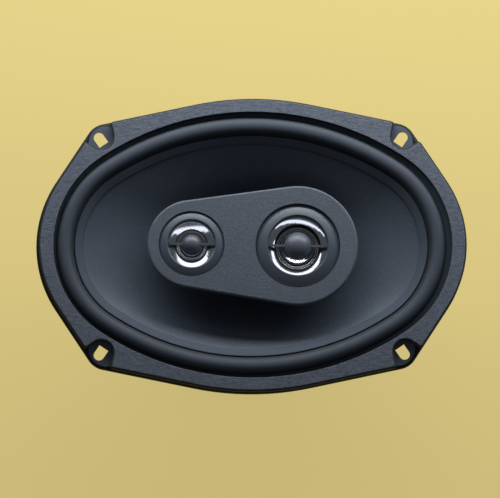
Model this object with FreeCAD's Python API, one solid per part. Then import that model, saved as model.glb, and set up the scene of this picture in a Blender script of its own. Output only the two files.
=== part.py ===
"""Oval three-way coaxial car speaker, 6 by 9 inch frame size, in millimetres.

+Z is the way the speaker fires, X is the long axis and Y the short one. The origin is on the speaker's
axis, in the plane of the lip that seats on the baffle. Every sub-part is written to parts/NAME.step.
"""

import FreeCAD, Part
import math
import os

V = FreeCAD.Vector
Z_AXIS = V(0, 0, 1)

# Flange outline: end arcs, straight flanks, rounded screw lugs and gently bowed long sides.
FLANGE_LENGTH = 234.8
FLANGE_WIDTH = 162.8
END_ARC_R = 64.0
SIDE_ARC_R = 155.0
FLANK_NORMAL = 33.3       # degrees from X
SIDE_NORMAL = 78.2        # degrees from X
LUG_R = 11.5
SHEET = 1.2               # steel sheet of the basket
FLANGE_TOP = 2.8
FLANGE_EDGE_R = 2.2

# Screw slots, square at the inner end and round at the outer end.
SLOT_X = 82.6
SLOT_Y = 59.2
SLOT_WIDTH = 5.8
SLOT_LENGTH = 7.7
LUG_POCKET_R = 6.5        # clear circle in the trim ring round each slot

# The oval of the cone, surround and trim ring: four arcs whose centres stay put as the size changes.
END_CENTRE = 50.97
SIDE_CENTRE = 76.1
CENTRE_GAP = math.hypot(END_CENTRE, SIDE_CENTRE)
JOIN_ANGLE = math.degrees(math.atan2(SIDE_CENTRE, END_CENTRE))

# Radii of the end arcs of that oval, from the outside in.
LIP_OUTER_R = 59.6        # edge of the surround, under the trim ring
TRIM_INNER_R = 57.6
ROLL_OUTER_R = 55.65
ROLL_INNER_R = 46.0
CONE_RIM_R = 45.4
JOINT_R = 40.9            # where the surround's inner band ends on the cone
CONE_BEND_R = 40.4

# Heights of the front pieces.
FRONT_Z = 7.4             # front of the trim ring and of the tweeter pod
LIP_THICK = 0.5
ROLL_TOP_Z = 7.25
RUBBER = 0.7
BAND_THICK = 0.75
CONE_RIM_Z = 1.9
CONE_BEND_Z = -0.9
TRIM_INSET = 0.7
TRIM_EDGE_R = 1.3
TRIM_NOSE_R = 1.5         # noses of the ring beside each screw pocket
TRIM_LIP_EDGE_R = 0.5
TRIM_SLIP = V(0.8, 0.2, 0)   # the ring is glued on a little off centre

# Cone, coil and suspension.
NECK_R = 16.3
NECK_Z = -37.0
CONE_BOW = 0.15
CONE_SHEET = 0.9          # measured along Z
NECK_COLLAR = 3.0
FORMER_R = 16.0
FORMER_WALL = 0.3
COIL_DEPTH = 0.6
COIL_HEIGHT = 9.0
SPIDER_OUTER_R = 46.5
SPIDER_WAVES = 4
SPIDER_THICK = 0.5
WAVE_ANGLE = 70            # steepest slope of the corrugations

# Basket below the flange.
COLLAR_R = 55.9
COLLAR_WALL = 1.2
SHELF_R = 50.9
SHELF_Z = -7.6
LEDGE_R = 49.0
LEDGE_Z = -41.0
CUP_R = 38.6
FLOOR_Z = -49.2
FLOOR_HOLE_R = 20.0
SPIDER_FIRST_R = FORMER_R + 2.6
WAVE_SPAN = (CUP_R - SHEET - 0.6 - SPIDER_FIRST_R) / (2 * SPIDER_WAVES + 1)
WAVE_R = WAVE_SPAN / 2 / math.sin(math.radians(WAVE_ANGLE))
ARM_ANGLES = (24.0, 62.0)
ARM_WIDTH = 11.0
WINDOW_CORNER_R = 3.5

# Motor.
PLATE_R = 42.0
PLATE_THICK = 6.0
PLATE_BORE_R = 17.2
MAGNET_R = 45.0
MAGNET_THICK = 16.0
MAGNET_BORE_R = 22.0
BACK_PLATE_THICK = 5.0
POLE_R = 15.1
BOOT_WALL = 2.2
BOOT_BACK = 2.6
PLATE_Z = FLOOR_Z - SHEET
MAGNET_Z = PLATE_Z - PLATE_THICK
BACK_PLATE_Z = MAGNET_Z - MAGNET_THICK
BACK_Z = BACK_PLATE_Z - BACK_PLATE_THICK
REST_Z = BACK_Z - BOOT_BACK
COIL_LOW_Z = PLATE_Z - PLATE_THICK / 2 - COIL_HEIGHT / 2
RIVET_RING_R = 28.5
RIVET_R = 1.9

# Hollow post that carries the tweeter pod.
POST_R = 6.0
SPIGOT_R = 5.0
POST_BORE_R = 2.6
POST_TOP_Z = -10.0
NUT_FLATS = 13.0
NUT_THICK = 3.0
NUT_POCKET_R = 9.0
NUT_POCKET_Z = BACK_Z + 3.6

# Tweeter pod: the tangent hull of two circles, turned a little about the speaker's axis.
POD_TURN = -1.1
MID_X = 25.3
TWEETER_X = -32.6
POD_MID_R = 32.9
POD_TWEETER_R = 24.2
POD_PLATE_THICK = 3.4
POD_EDGE_R = 1.2
POD_WALL = 1.6
POD_SKIRT_Z = -4.0
POD_SKIRT_INSET = 3.0
POD_BACK_Z = -15.6
POD_BACK_INSET = 15.0      # the back is this much smaller all round than the front
POD_SCREW_SITES = ((51.0, 0), (-8.0, 21.5), (-8.0, -21.5))
POD_BOSS_R = 3.4
CAPACITOR_Z = -4.0
SCREW_SEAT_Z = -1.5

# Terminal strip on the -Y side.
TAB_WIDTH = 31.0
TAB_END_Y = -66.0
BOARD = (28.0, 15.0, 1.6)
BOARD_Y = -57.8
BLADE_X = 8.0
BLADE_THICK = 0.8
BLADE_LENGTH = 7.5        # past the board's edge
POSITIVE_BLADE_WIDTH = 4.8
NEGATIVE_BLADE_WIDTH = 2.8
BOARD_TOP_Z = LEDGE_Z + BOARD[2]
BOARD_OUTER_Y = BOARD_Y - BOARD[1] / 2
TERMINAL_HOLE_R = 1.6


class Midrange:
    """The larger driver of the pod. Pairs are (radius, depth below the pod's front face)."""

    name = "midrange"
    x = MID_X
    bezel_r = 22.9
    mouth_r = 16.3            # inner edge of the bezel at the front
    ring_outer = (15.3, -5.4)
    ring_inner = (12.8, -7.0)
    throat_foot = (12.1, -13.4)
    surround_r = 11.7
    dome_r = 8.4
    dome_rise = 3.2
    plug_r = 7.5
    plug_rise = 4.4
    magnet_r = 7.6


class Tweeter:
    """The smaller driver of the pod, with the same fields."""

    name = "tweeter"
    x = TWEETER_X
    bezel_r = 17.7
    mouth_r = 12.95
    ring_outer = (12.35, -4.5)
    ring_inner = (8.95, -6.3)
    throat_foot = (8.8, -8.2)
    surround_r = 8.4
    dome_r = 5.6
    dome_rise = 2.0
    plug_r = 5.3
    plug_rise = 3.6
    magnet_r = 4.9


CUP_DEPTH = 6.5
CUP_FLOOR = 1.6
DRIVER_MAGNET_THICK = 3.2
DRIVER_POLE_THICK = 1.6
BAR_DEPTH = 2.2           # bar of the phase plug, below the pod's front face
BAR_WIDTH = 1.2


# ---------------------------------------------------------------- helpers

def unit(degrees):
    return V(math.cos(math.radians(degrees)), math.sin(math.radians(degrees)), 0)


def arc(a, b, c):
    return Part.Arc(a, b, c).toShape()


def line(a, b):
    return Part.LineSegment(a, b).toShape()


def prism(wire, low, high):
    """A closed flat wire, drawn at z = 0, as a solid from low to high."""
    face = Part.Face(wire)
    face.translate(V(0, 0, low))
    return face.extrude(V(0, 0, high - low))


def cylinder(r, low, high, x=0.0, y=0.0):
    return Part.makeCylinder(r, high - low, V(x, y, low), Z_AXIS)


def tube(r_out, r_in, low, high, x=0.0, y=0.0):
    return cylinder(r_out, low, high, x, y).cut(cylinder(r_in, low - 1, high + 1, x, y))


def box(x0, x1, y0, y1, z0, z1):
    return Part.makeBox(x1 - x0, y1 - y0, z1 - z0, V(x0, y0, z0))


def profile_wire(steps):
    """Closed wire in the XZ plane: (r, z) draws a line, and (r, z, r_mid, z_mid) an arc by way of r_mid."""
    edges = []
    here = V(steps[-1][0], 0, steps[-1][1])
    for step in steps:
        there = V(step[0], 0, step[1])
        if len(step) == 4:
            edges.append(arc(here, V(step[2], 0, step[3]), there))
        else:
            edges.append(line(here, there))
        here = there
    return Part.Wire(edges)


def turned(steps, x=0.0):
    """A profile turned a full circle about the vertical line through (x, 0)."""
    solid = Part.Face(profile_wire(steps)).revolve(V(0, 0, 0), Z_AXIS, 360)
    solid.translate(V(x, 0, 0))
    return solid


def oval_centres(scale):
    ends = END_CENTRE * scale
    sides = SIDE_CENTRE * scale
    return ((V(ends, 0, 0), -JOIN_ANGLE, JOIN_ANGLE, 0.0),
            (V(0, -sides, 0), JOIN_ANGLE, 180 - JOIN_ANGLE, CENTRE_GAP * scale),
            (V(-ends, 0, 0), 180 - JOIN_ANGLE, 180 + JOIN_ANGLE, 0.0),
            (V(0, sides, 0), 180 + JOIN_ANGLE, 360 - JOIN_ANGLE, CENTRE_GAP * scale))


def oval(end_r, z=0.0, scale=1.0):
    """Oval wire of four tangent arcs. Scale 1 is the frame's oval, and scale 0 is a circle."""
    edges = []
    for centre, start, stop, extra in oval_centres(scale):
        r = end_r + extra
        points = [centre + unit(a) * r + V(0, 0, z) for a in (start, (start + stop) / 2, stop)]
        edges.append(arc(*points))
    return Part.Wire(edges)


def oval_ring(steps):
    """A profile in (end-arc radius, z) carried round the frame's oval, one stretch for each of its arcs."""
    ring = None
    for centre, start, stop, extra in oval_centres(1.0):
        moved = [tuple(v + extra if i % 2 == 0 else v for i, v in enumerate(step)) for step in steps]
        face = Part.Face(profile_wire(moved))
        face.rotate(V(0, 0, 0), Z_AXIS, start)
        face.translate(centre)
        stretch = face.revolve(centre, Z_AXIS, stop - start)
        ring = stretch if ring is None else ring.fuse(stretch)
    return ring


def flange_outline(inset=0.0):
    """Outline of the flange at z = 0: end arcs, flanks, lugs and long sides, all tangent."""
    end_centre = V(FLANGE_LENGTH / 2 - END_ARC_R, 0, 0)
    side_centre = V(0, FLANGE_WIDTH / 2 - SIDE_ARC_R, 0)
    flank_normal = unit(FLANK_NORMAL)
    side_normal = unit(SIDE_NORMAL)
    flank_start = end_centre + flank_normal * (END_ARC_R - inset)
    side_end = side_centre + side_normal * (SIDE_ARC_R - inset)
    lug_r = LUG_R - inset
    lug_centre = lug_centre_point()
    flank_end = lug_centre + flank_normal * lug_r
    side_start = lug_centre + side_normal * lug_r
    lug_tip = lug_centre + unit((FLANK_NORMAL + SIDE_NORMAL) / 2) * lug_r
    end_tip = V(FLANGE_LENGTH / 2 - inset, 0, 0)
    side_top = V(0, FLANGE_WIDTH / 2 - inset, 0)

    def mirror(point, sx, sy):
        return V(point.x * sx, point.y * sy, 0)

    edges = []
    for sx, sy in ((1, 1), (-1, 1), (-1, -1), (1, -1)):
        quarter = [line(mirror(flank_start, sx, sy), mirror(flank_end, sx, sy)),
                   arc(mirror(flank_end, sx, sy), mirror(lug_tip, sx, sy), mirror(side_start, sx, sy)),
                   line(mirror(side_start, sx, sy), mirror(side_end, sx, sy))]
        edges += quarter
    for sy in (1, -1):
        edges.append(arc(mirror(side_end, 1, sy), mirror(side_top, 1, sy), mirror(side_end, -1, sy)))
    for sx in (1, -1):
        edges.append(arc(mirror(flank_start, sx, -1), mirror(end_tip, sx, 1), mirror(flank_start, sx, 1)))
    return Part.Wire(Part.__sortEdges__(edges))


def lug_centre_point():
    """Centre of the lug's rounding, LUG_R inside both the flank line and the long side's line."""
    flank = unit(FLANK_NORMAL)
    side = unit(SIDE_NORMAL)
    flank_reach = (FLANGE_LENGTH / 2 - END_ARC_R) * flank.x + END_ARC_R - LUG_R
    side_reach = (FLANGE_WIDTH / 2 - SIDE_ARC_R) * side.y + SIDE_ARC_R - LUG_R
    det = flank.x * side.y - flank.y * side.x
    x = (flank_reach * side.y - side_reach * flank.y) / det
    y = (side_reach * flank.x - flank_reach * side.x) / det
    return V(x, y, 0)


def each_corner(shape):
    """The shape in the +X +Y corner, and its mirror images in the other three."""
    left = shape.mirror(V(0, 0, 0), V(1, 0, 0))
    return [shape, left, left.mirror(V(0, 0, 0), V(0, 1, 0)), shape.mirror(V(0, 0, 0), V(0, 1, 0))]


def round_wire_tube(route, diameter):
    """A lead along straight runs joined by tangent arcs, through the route's first and last points."""
    points = [V(*p) for p in route]
    edges = []
    here = points[0]
    for before, corner, after in zip(points, points[1:], points[2:]):
        run_in = corner - before
        run_out = after - corner
        turn = run_in.getAngle(run_out)
        reach = 0.45 * min(run_in.Length, run_out.Length)
        way_in = V(run_in).normalize()
        way_out = V(run_out).normalize()
        start = corner - way_in * reach
        stop = corner + way_out * reach
        radius = reach / math.tan(turn / 2)
        inward = V(way_out - way_in).normalize()
        middle = corner + inward * (radius / math.cos(turn / 2) - radius)
        edges.append(line(here, start))
        edges.append(arc(start, middle, stop))
        print("lead bend radius %.1f, lead diameter %.1f" % (radius, diameter))
        here = stop
    edges.append(line(here, points[-1]))
    path = Part.Wire(edges)
    first = V(points[1] - points[0]).normalize()
    section = Part.Wire([Part.Circle(points[0], first, diameter / 2).toShape()])
    lead = path.makePipeShell([section], True, False)
    ratio = lead.Volume / (math.pi * diameter ** 2 / 4 * path.Length)
    print("lead length %.1f, volume over section times length %.3f" % (path.Length, ratio))
    return lead


# ---------------------------------------------------------------- basket and trim

def slot_cutter(clearance=0.0):
    """The D-shaped screw slot in the +X +Y corner, along the lug's own direction."""
    half = SLOT_WIDTH / 2 + clearance
    inner = -SLOT_LENGTH / 2 - clearance
    shoulder = SLOT_LENGTH / 2 + clearance - half
    wire = Part.Wire([line(V(inner, -half, 0), V(shoulder, -half, 0)),
                      arc(V(shoulder, -half, 0), V(shoulder + half, 0, 0), V(shoulder, half, 0)),
                      line(V(shoulder, half, 0), V(inner, half, 0)),
                      line(V(inner, half, 0), V(inner, -half, 0))])
    cutter = prism(wire, -2, FLANGE_TOP + 2)
    cutter.rotate(V(0, 0, 0), Z_AXIS, (FLANK_NORMAL + SIDE_NORMAL) / 2)
    cutter.translate(V(SLOT_X, SLOT_Y, 0))
    return cutter


def flange():
    blank = prism(flange_outline(), 0, FLANGE_TOP)
    rim = [e for e in blank.Edges if e.BoundBox.ZMin > FLANGE_TOP - 0.01]
    blank = blank.makeFillet(FLANGE_EDGE_R, rim)
    hollow = prism(flange_outline(SHEET), -1, FLANGE_TOP - SHEET)
    under_rim = [e for e in hollow.Edges if e.BoundBox.ZMin > FLANGE_TOP - SHEET - 0.01]
    hollow = hollow.makeFillet(FLANGE_EDGE_R - SHEET, under_rim)
    plate = blank.cut(hollow)
    plate = plate.cut(prism(oval(COLLAR_R), -2, FLANGE_TOP + 2))
    for cutter in each_corner(slot_cutter()):
        plate = plate.cut(cutter)
    return plate


def slope_section(t, inner):
    """Section of the windowed wall: t is 0 at the spider ledge and 1 at the shelf under the flange."""
    top_r, foot_r = (SHELF_R - 0.3, LEDGE_R - SHEET) if inner else (SHELF_R + 0.5, LEDGE_R)
    top_z, foot_z = (SHELF_Z, LEDGE_Z + 3.6) if inner else (SHELF_Z - 1.1, LEDGE_Z + 2.8)
    return oval(foot_r + (top_r - foot_r) * t, foot_z + (top_z - foot_z) * t, t)


def sloped_wall():
    outer = Part.makeLoft([slope_section(0.0, False), slope_section(1.0, False)], True, True)
    inner = Part.makeLoft([slope_section(0.0, True), slope_section(1.0, True)], True, True)
    bore = cylinder(LEDGE_R - SHEET, LEDGE_Z, LEDGE_Z + 4.5)
    return outer.cut(inner).cut(bore)


def window_cutters():
    """Rounded blanks between the arms; each cuts one window straight down through the sloped wall."""
    low = LEDGE_Z + 3.4
    high = SHELF_Z - 1.6
    band = prism(oval(50.9, 0, 0.86), low, high).cut(prism(oval(49.3, 0, 0.13), low - 1, high + 1))
    for side in (0, 180):
        for angle in ARM_ANGLES:
            for turn in (angle, -angle):
                arm = box(30, 120, -ARM_WIDTH / 2, ARM_WIDTH / 2, low - 1, high + 1)
                arm.rotate(V(0, 0, 0), Z_AXIS, side + turn)
                band = band.cut(arm)
    blanks = []
    for blank in band.Solids:
        upright = [e for e in blank.Edges if e.BoundBox.ZLength > (high - low) * 0.9]
        blanks.append(blank.makeFillet(WINDOW_CORNER_R, upright))
    return blanks


def collar():
    """Upright wall below the flange, and the shelf that turns in at its foot."""
    inside = COLLAR_R - COLLAR_WALL
    under = FLANGE_TOP - SHEET
    return oval_ring([(inside + 1.0, FLANGE_TOP),
                      (inside, FLANGE_TOP - 1.0, inside + 0.3, FLANGE_TOP - 0.3),
                      (inside, SHELF_Z + 1.6),
                      (inside - 0.7, SHELF_Z + 0.9, inside - 0.2, SHELF_Z + 1.1),
                      (SHELF_R, SHELF_Z),
                      (SHELF_R, SHELF_Z - SHEET),
                      (COLLAR_R - 0.9, SHELF_Z - 0.2),
                      (COLLAR_R, SHELF_Z + 0.8, COLLAR_R - 0.25, SHELF_Z + 0.1),
                      (COLLAR_R, under - 0.6),
                      (COLLAR_R + 0.6, under, COLLAR_R + 0.17, under - 0.17),
                      (COLLAR_R + 2, under),
                      (COLLAR_R + 2, FLANGE_TOP)])


def seat():
    """Ledge for the spider's edge, and the round cup below it whose floor is riveted to the top plate."""
    inside = LEDGE_R - SHEET
    ledge_under = LEDGE_Z - SHEET
    floor_under = FLOOR_Z - SHEET
    return turned([(inside, LEDGE_Z + 3.9), (inside, LEDGE_Z),
                   (CUP_R, LEDGE_Z), (CUP_R - SHEET, ledge_under),
                   (CUP_R - SHEET, FLOOR_Z), (FLOOR_HOLE_R, FLOOR_Z), (FLOOR_HOLE_R, floor_under),
                   (CUP_R - 1, floor_under), (CUP_R, floor_under + 1, CUP_R - 0.3, floor_under + 0.3),
                   (CUP_R, ledge_under), (LEDGE_R - 1, ledge_under),
                   (LEDGE_R, ledge_under + 1, LEDGE_R - 0.3, ledge_under + 0.3), (LEDGE_R, LEDGE_Z + 3.9)])


def terminal_tab():
    """Tab pressed out of the ledge, which the terminal board is riveted to."""
    tab = box(-TAB_WIDTH / 2, TAB_WIDTH / 2, TAB_END_Y, -CUP_R - 4, LEDGE_Z - SHEET, LEDGE_Z)
    corners = [e for e in tab.Edges if e.BoundBox.ZLength > SHEET * 0.9 and e.BoundBox.YMax < TAB_END_Y + 1]
    tab = tab.makeFillet(3.0, corners)
    return tab.cut(cylinder(LEDGE_R - SHEET, LEDGE_Z - 5, LEDGE_Z + 5))


def basket():
    wall = sloped_wall()
    for cutter in window_cutters():
        wall = wall.cut(cutter)
    shape = flange().fuse([collar(), wall, seat(), terminal_tab()])
    for x, y in rivet_sites():
        shape = shape.cut(cylinder(RIVET_R + 0.05, FLOOR_Z - 3, FLOOR_Z + 1, x, y))
    for x in (-BLADE_X, BLADE_X):
        shape = shape.cut(cylinder(TERMINAL_HOLE_R, LEDGE_Z - 3, LEDGE_Z + 1, x, BOARD_Y))
    return shape.removeSplitter()


def trim_ring():
    """Moulded ring glued over the flange and the surround's lip, cut back round the screw slots."""
    ring = prism(flange_outline(TRIM_INSET), FLANGE_TOP, FRONT_Z)
    for pocket in each_corner(lug_pocket()):
        ring = ring.cut(pocket)
    noses = [e for e in ring.Edges if e.BoundBox.ZLength > 1 and e.Curve.TypeId == "Part::GeomLine"
             and is_nose(e.Vertexes[0])]
    ring = ring.makeFillet(TRIM_NOSE_R, noses)
    rim = [e for e in ring.Edges if e.BoundBox.ZMin > FRONT_Z - 0.01]
    ring = ring.makeFillet(TRIM_EDGE_R, rim)
    ring = ring.cut(prism(oval(TRIM_INNER_R), 0, FRONT_Z + 2))
    inner_lip = [e for e in ring.Edges if e.BoundBox.ZMin > FRONT_Z - 0.01 and on_oval(e)]
    ring = ring.makeFillet(TRIM_LIP_EDGE_R, inner_lip)
    ring = ring.cut(prism(oval(LIP_OUTER_R + 1.0), 0, FLANGE_TOP + LIP_THICK + 0.05))
    ring.translate(TRIM_SLIP)
    return ring


def is_nose(vertex):
    """True where a straight side of a pocket meets the outline of the trim ring."""
    spot = V(abs(vertex.X) - SLOT_X, abs(vertex.Y) - SLOT_Y, 0)
    off_flank = abs(spot.dot(unit(FLANK_NORMAL - 90)) - LUG_POCKET_R)
    off_side = abs(spot.dot(unit(SIDE_NORMAL + 90)) - LUG_POCKET_R)
    return spot.Length > LUG_POCKET_R + 1 and min(off_flank, off_side) < 0.05


def on_oval(edge):
    """True for an edge of the trim ring's inner oval."""
    if edge.Curve.TypeId != "Part::GeomCircle":
        return False
    r = edge.Curve.Radius
    return min(abs(r - TRIM_INNER_R), abs(r - TRIM_INNER_R - CENTRE_GAP)) < 0.01


def lug_pocket():
    """Clear space over a lug: a circle round the slot, opened square to both edges of the flange."""
    centre = V(SLOT_X, SLOT_Y, 0)
    flank = unit(FLANK_NORMAL)
    side = unit(SIDE_NORMAL)
    by_flank = centre + unit(FLANK_NORMAL - 90) * LUG_POCKET_R
    by_side = centre + unit(SIDE_NORMAL + 90) * LUG_POCKET_R
    back = centre - unit((FLANK_NORMAL + SIDE_NORMAL) / 2) * LUG_POCKET_R
    far = 30.0
    wire = Part.Wire([arc(by_side, back, by_flank), line(by_flank, by_flank + flank * far),
                      line(by_flank + flank * far, centre + (flank + side) * far),
                      line(centre + (flank + side) * far, by_side + side * far),
                      line(by_side + side * far, by_side)])
    return prism(wire, 0, FRONT_Z + 3)


# ---------------------------------------------------------------- cone and suspension

def band_z(end_r):
    """Front of the cone's rim land, where the surround's inner band is glued."""
    slope = (CONE_RIM_Z - CONE_BEND_Z) / (CONE_RIM_R - CONE_BEND_R)
    return CONE_BEND_Z + (end_r - CONE_BEND_R) * slope


def cone_solid(lift):
    """The cone's form, filled from the neck up to its rim; lift moves it along Z."""
    sections = []
    for i in range(6):
        t = i / 5
        rise = t + CONE_BOW * t * (1 - t)
        z = NECK_Z + (CONE_BEND_Z - NECK_Z) * rise + lift
        sections.append(oval(NECK_R + (CONE_BEND_R - NECK_R) * t, z, t))
    bowl = Part.makeLoft(sections, True, False)
    rim = Part.makeLoft([sections[-1], oval(CONE_RIM_R, CONE_RIM_Z + lift)], True, True)
    return bowl.fuse(rim)


def cone():
    shell = cone_solid(-CONE_SHEET).cut(cone_solid(0.0))
    shell = shell.cut(cylinder(FORMER_R, NECK_Z - 5, NECK_Z + 5))
    collar = tube(FORMER_R + 0.9, FORMER_R, NECK_Z - NECK_COLLAR, NECK_Z)
    return shell.fuse(collar)


def surround():
    lip_top = FLANGE_TOP + LIP_THICK
    mid = (ROLL_OUTER_R + ROLL_INNER_R) / 2
    inner_foot_z = band_z(ROLL_INNER_R) + BAND_THICK
    return oval_ring([(LIP_OUTER_R, FLANGE_TOP), (LIP_OUTER_R, lip_top), (ROLL_OUTER_R, lip_top),
                      (ROLL_INNER_R, inner_foot_z, mid, ROLL_TOP_Z),
                      (JOINT_R, band_z(JOINT_R) + BAND_THICK), (JOINT_R, band_z(JOINT_R)),
                      (CONE_RIM_R, CONE_RIM_Z), (ROLL_INNER_R + RUBBER, band_z(ROLL_INNER_R) + 0.2),
                      (ROLL_OUTER_R - RUBBER, FLANGE_TOP, mid, ROLL_TOP_Z - RUBBER)])


def wave_arc(middle, level, radius, angle, up, start_side):
    """One arc of a corrugation as (end r, end z, middle r, middle z), run from start_side to the other side."""
    sign = 1 if up else -1
    centre_z = level - sign * WAVE_R * math.cos(math.radians(WAVE_ANGLE))
    turn = math.radians(angle)
    end_r = middle - start_side * radius * math.sin(turn)
    return (end_r, centre_z + sign * radius * math.cos(turn), middle, centre_z + sign * radius)


def wave_end_angle(radius, rise):
    """Angle from the top of an end arc at which it meets the flat edge of the disc."""
    height = WAVE_R * math.cos(math.radians(WAVE_ANGLE)) + rise
    return math.degrees(math.acos(height / radius))


def spider():
    """Corrugated disc of even thickness: arcs about common centres, with a flat edge inside and outside."""
    half = SPIDER_THICK / 2
    level = LEDGE_Z + half
    count = 2 * SPIDER_WAVES + 1
    middles = [SPIDER_FIRST_R + WAVE_SPAN * (i + 0.5) for i in range(count)]
    front_end = wave_end_angle(WAVE_R + half, half)
    back_end = wave_end_angle(WAVE_R - half, -half)
    back = []
    for i, middle in enumerate(middles):
        up = i % 2 == 0
        radius = WAVE_R - half if up else WAVE_R + half
        back.append(wave_arc(middle, level, radius, back_end if i == count - 1 else WAVE_ANGLE, up, -1))
    front = []
    for i, middle in reversed(list(enumerate(middles))):
        up = i % 2 == 0
        radius = WAVE_R + half if up else WAVE_R - half
        front.append(wave_arc(middle, level, radius, front_end if i == 0 else WAVE_ANGLE, up, 1))
    first_back = middles[0] - (WAVE_R - half) * math.sin(math.radians(back_end))
    last_front = middles[-1] + (WAVE_R + half) * math.sin(math.radians(front_end))
    inner = FORMER_R + 0.3
    return turned([(inner, level + half), (inner, level - half), (first_back, level - half)] + back
                  + [(SPIDER_OUTER_R, level - half), (SPIDER_OUTER_R, level + half), (last_front, level + half)]
                  + front)


def coil_former():
    return tube(FORMER_R, FORMER_R - FORMER_WALL, COIL_LOW_Z - 0.8, NECK_Z + 0.6)


def voice_coil():
    return tube(FORMER_R + COIL_DEPTH, FORMER_R, COIL_LOW_Z, COIL_LOW_Z + COIL_HEIGHT)


# From its blade, in an easy arch through the basket's window, to the back of the cone.
LEAD_ROUTE = ((8.0, -62.6, -37.7), (8.0, -62.6, -33.4), (8.2, -58.2, -29.4), (8.6, -51.0, -28.0),
              (9.2, -42.6, -29.6), (9.6, -34.6, -29.2), (9.4, -27.4, -29.6))
LEAD_DIAMETER = 1.5


def tinsel_lead(side):
    return round_wire_tube([(x * side, y, z) for x, y, z in LEAD_ROUTE], LEAD_DIAMETER)


def lead_joints():
    """Beads of glue and solder where the leads meet the back of the cone."""
    beads = []
    end = LEAD_ROUTE[-1]
    for side in (1, -1):
        bead = Part.makeSphere(2.3, V(end[0] * side, end[1] + 1.6, end[2] + 0.4))
        bead = bead.cut(cone_solid(-CONE_SHEET)).cut(tinsel_lead(side))
        beads.append(bead)
    return Part.Compound([s for b in beads for s in b.Solids])


# ---------------------------------------------------------------- motor

def rivet_sites():
    return [(RIVET_RING_R * unit(a).x, RIVET_RING_R * unit(a).y) for a in (45, 135, 225, 315)]


def top_plate():
    plate = tube(PLATE_R, PLATE_BORE_R, MAGNET_Z, PLATE_Z)
    for x, y in rivet_sites():
        plate = plate.cut(cylinder(RIVET_R + 0.05, PLATE_Z - 4, PLATE_Z + 1, x, y))
    rim = [e for e in plate.Edges if e.BoundBox.XLength > 2 * PLATE_R - 1]
    return plate.makeChamfer(0.6, rim)


def basket_rivets():
    rivets = []
    for x, y in rivet_sites():
        head = turned([(0, FLOOR_Z), (3.2, FLOOR_Z), (1.2, FLOOR_Z + 1.3, 2.5, FLOOR_Z + 0.95),
                       (0, FLOOR_Z + 1.3)])
        head.translate(V(x, y, 0))
        rivets.append(head.fuse(cylinder(RIVET_R, PLATE_Z - 3.9, FLOOR_Z, x, y)))
    return Part.Compound(rivets)


def ferrite_magnet():
    ring = tube(MAGNET_R, MAGNET_BORE_R, BACK_PLATE_Z, MAGNET_Z)
    rim = [e for e in ring.Edges if e.BoundBox.XLength > 2 * MAGNET_R - 1]
    return ring.makeChamfer(0.8, rim)


def pole_yoke():
    """Back plate and pole in one forging, bored for the pod's post, with a pocket for its nut."""
    bore = SPIGOT_R + 0.1
    return turned([(bore, NUT_POCKET_Z), (NUT_POCKET_R, NUT_POCKET_Z), (NUT_POCKET_R, BACK_Z),
                   (PLATE_R - 1.5, BACK_Z), (PLATE_R, BACK_Z + 1.5), (PLATE_R, BACK_PLATE_Z - 0.5),
                   (PLATE_R - 0.5, BACK_PLATE_Z), (POLE_R + 2, BACK_PLATE_Z),
                   (POLE_R, BACK_PLATE_Z + 2, POLE_R + 0.6, BACK_PLATE_Z + 0.6),
                   (POLE_R, PLATE_Z - 0.6), (POLE_R - 0.6, PLATE_Z), (bore, PLATE_Z)])


def magnet_boot():
    """Rubber cover over the magnet, with a groove across its back for the pod's leads."""
    inner = MAGNET_R + 0.1
    outer = inner + BOOT_WALL
    top = MAGNET_Z + 1.1
    boot = turned([(12, REST_Z), (outer - 3, REST_Z), (outer, REST_Z + 3, outer - 0.9, REST_Z + 0.9),
                   (outer, top - 1), (outer - 1, top, outer - 0.3, top - 0.3), (inner - 2, top),
                   (inner - 2, MAGNET_Z + 0.05), (MAGNET_R - 0.7, MAGNET_Z + 0.05),
                   (inner, MAGNET_Z - 0.75), (inner, BACK_PLATE_Z - 0.1),
                   (PLATE_R + 0.1, BACK_PLATE_Z - 0.1), (PLATE_R + 0.1, BACK_Z + 1.4),
                   (PLATE_R - 1.4, BACK_Z - 0.05), (12, BACK_Z - 0.05)])
    for r in (18, 24, 30, 36):
        boot = boot.cut(tube(r + 2.5, r, REST_Z - 1, REST_Z + 0.8))
    side_groove = box(-2.2, 2.2, -outer - 1, -outer + 1.8, REST_Z - 1, top + 1)
    corner_groove = box(-2.2, 2.2, -outer - 1, -PLATE_R - 0.3, REST_Z - 1, BACK_Z + 4.4)
    back_groove = box(-2.2, 2.2, -outer - 1, 0, REST_Z - 1, BACK_Z - 0.4)
    return boot.cut(side_groove).cut(corner_groove).cut(back_groove)


# ---------------------------------------------------------------- post and pod

def tweeter_post():
    """Hollow post: a shoulder on the pole, a spigot down through it, and a neck up into the pod."""
    foot = NUT_POCKET_Z - NUT_THICK - 0.3
    base_r = POST_R + 2.5
    return turned([(POST_BORE_R + 0.9, foot), (SPIGOT_R - 0.4, foot), (SPIGOT_R, foot + 0.4),
                   (SPIGOT_R, PLATE_Z), (base_r, PLATE_Z), (base_r, PLATE_Z + 2),
                   (POST_R, PLATE_Z + 5, POST_R + 0.8, PLATE_Z + 2.8), (POST_R, POD_BACK_Z),
                   (SPIGOT_R, POD_BACK_Z), (SPIGOT_R, POST_TOP_Z), (POST_BORE_R, POST_TOP_Z),
                   (POST_BORE_R, foot + 0.9)])


def post_nut():
    corner = NUT_FLATS / 2 / math.cos(math.radians(30))
    corners = [unit(60 * i) * corner for i in range(6)]
    wire = Part.Wire([line(a, b) for a, b in zip(corners, corners[1:] + corners[:1])])
    nut = prism(wire, NUT_POCKET_Z - NUT_THICK, NUT_POCKET_Z)
    return nut.cut(cylinder(SPIGOT_R + 0.02, -200, 0))


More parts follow.
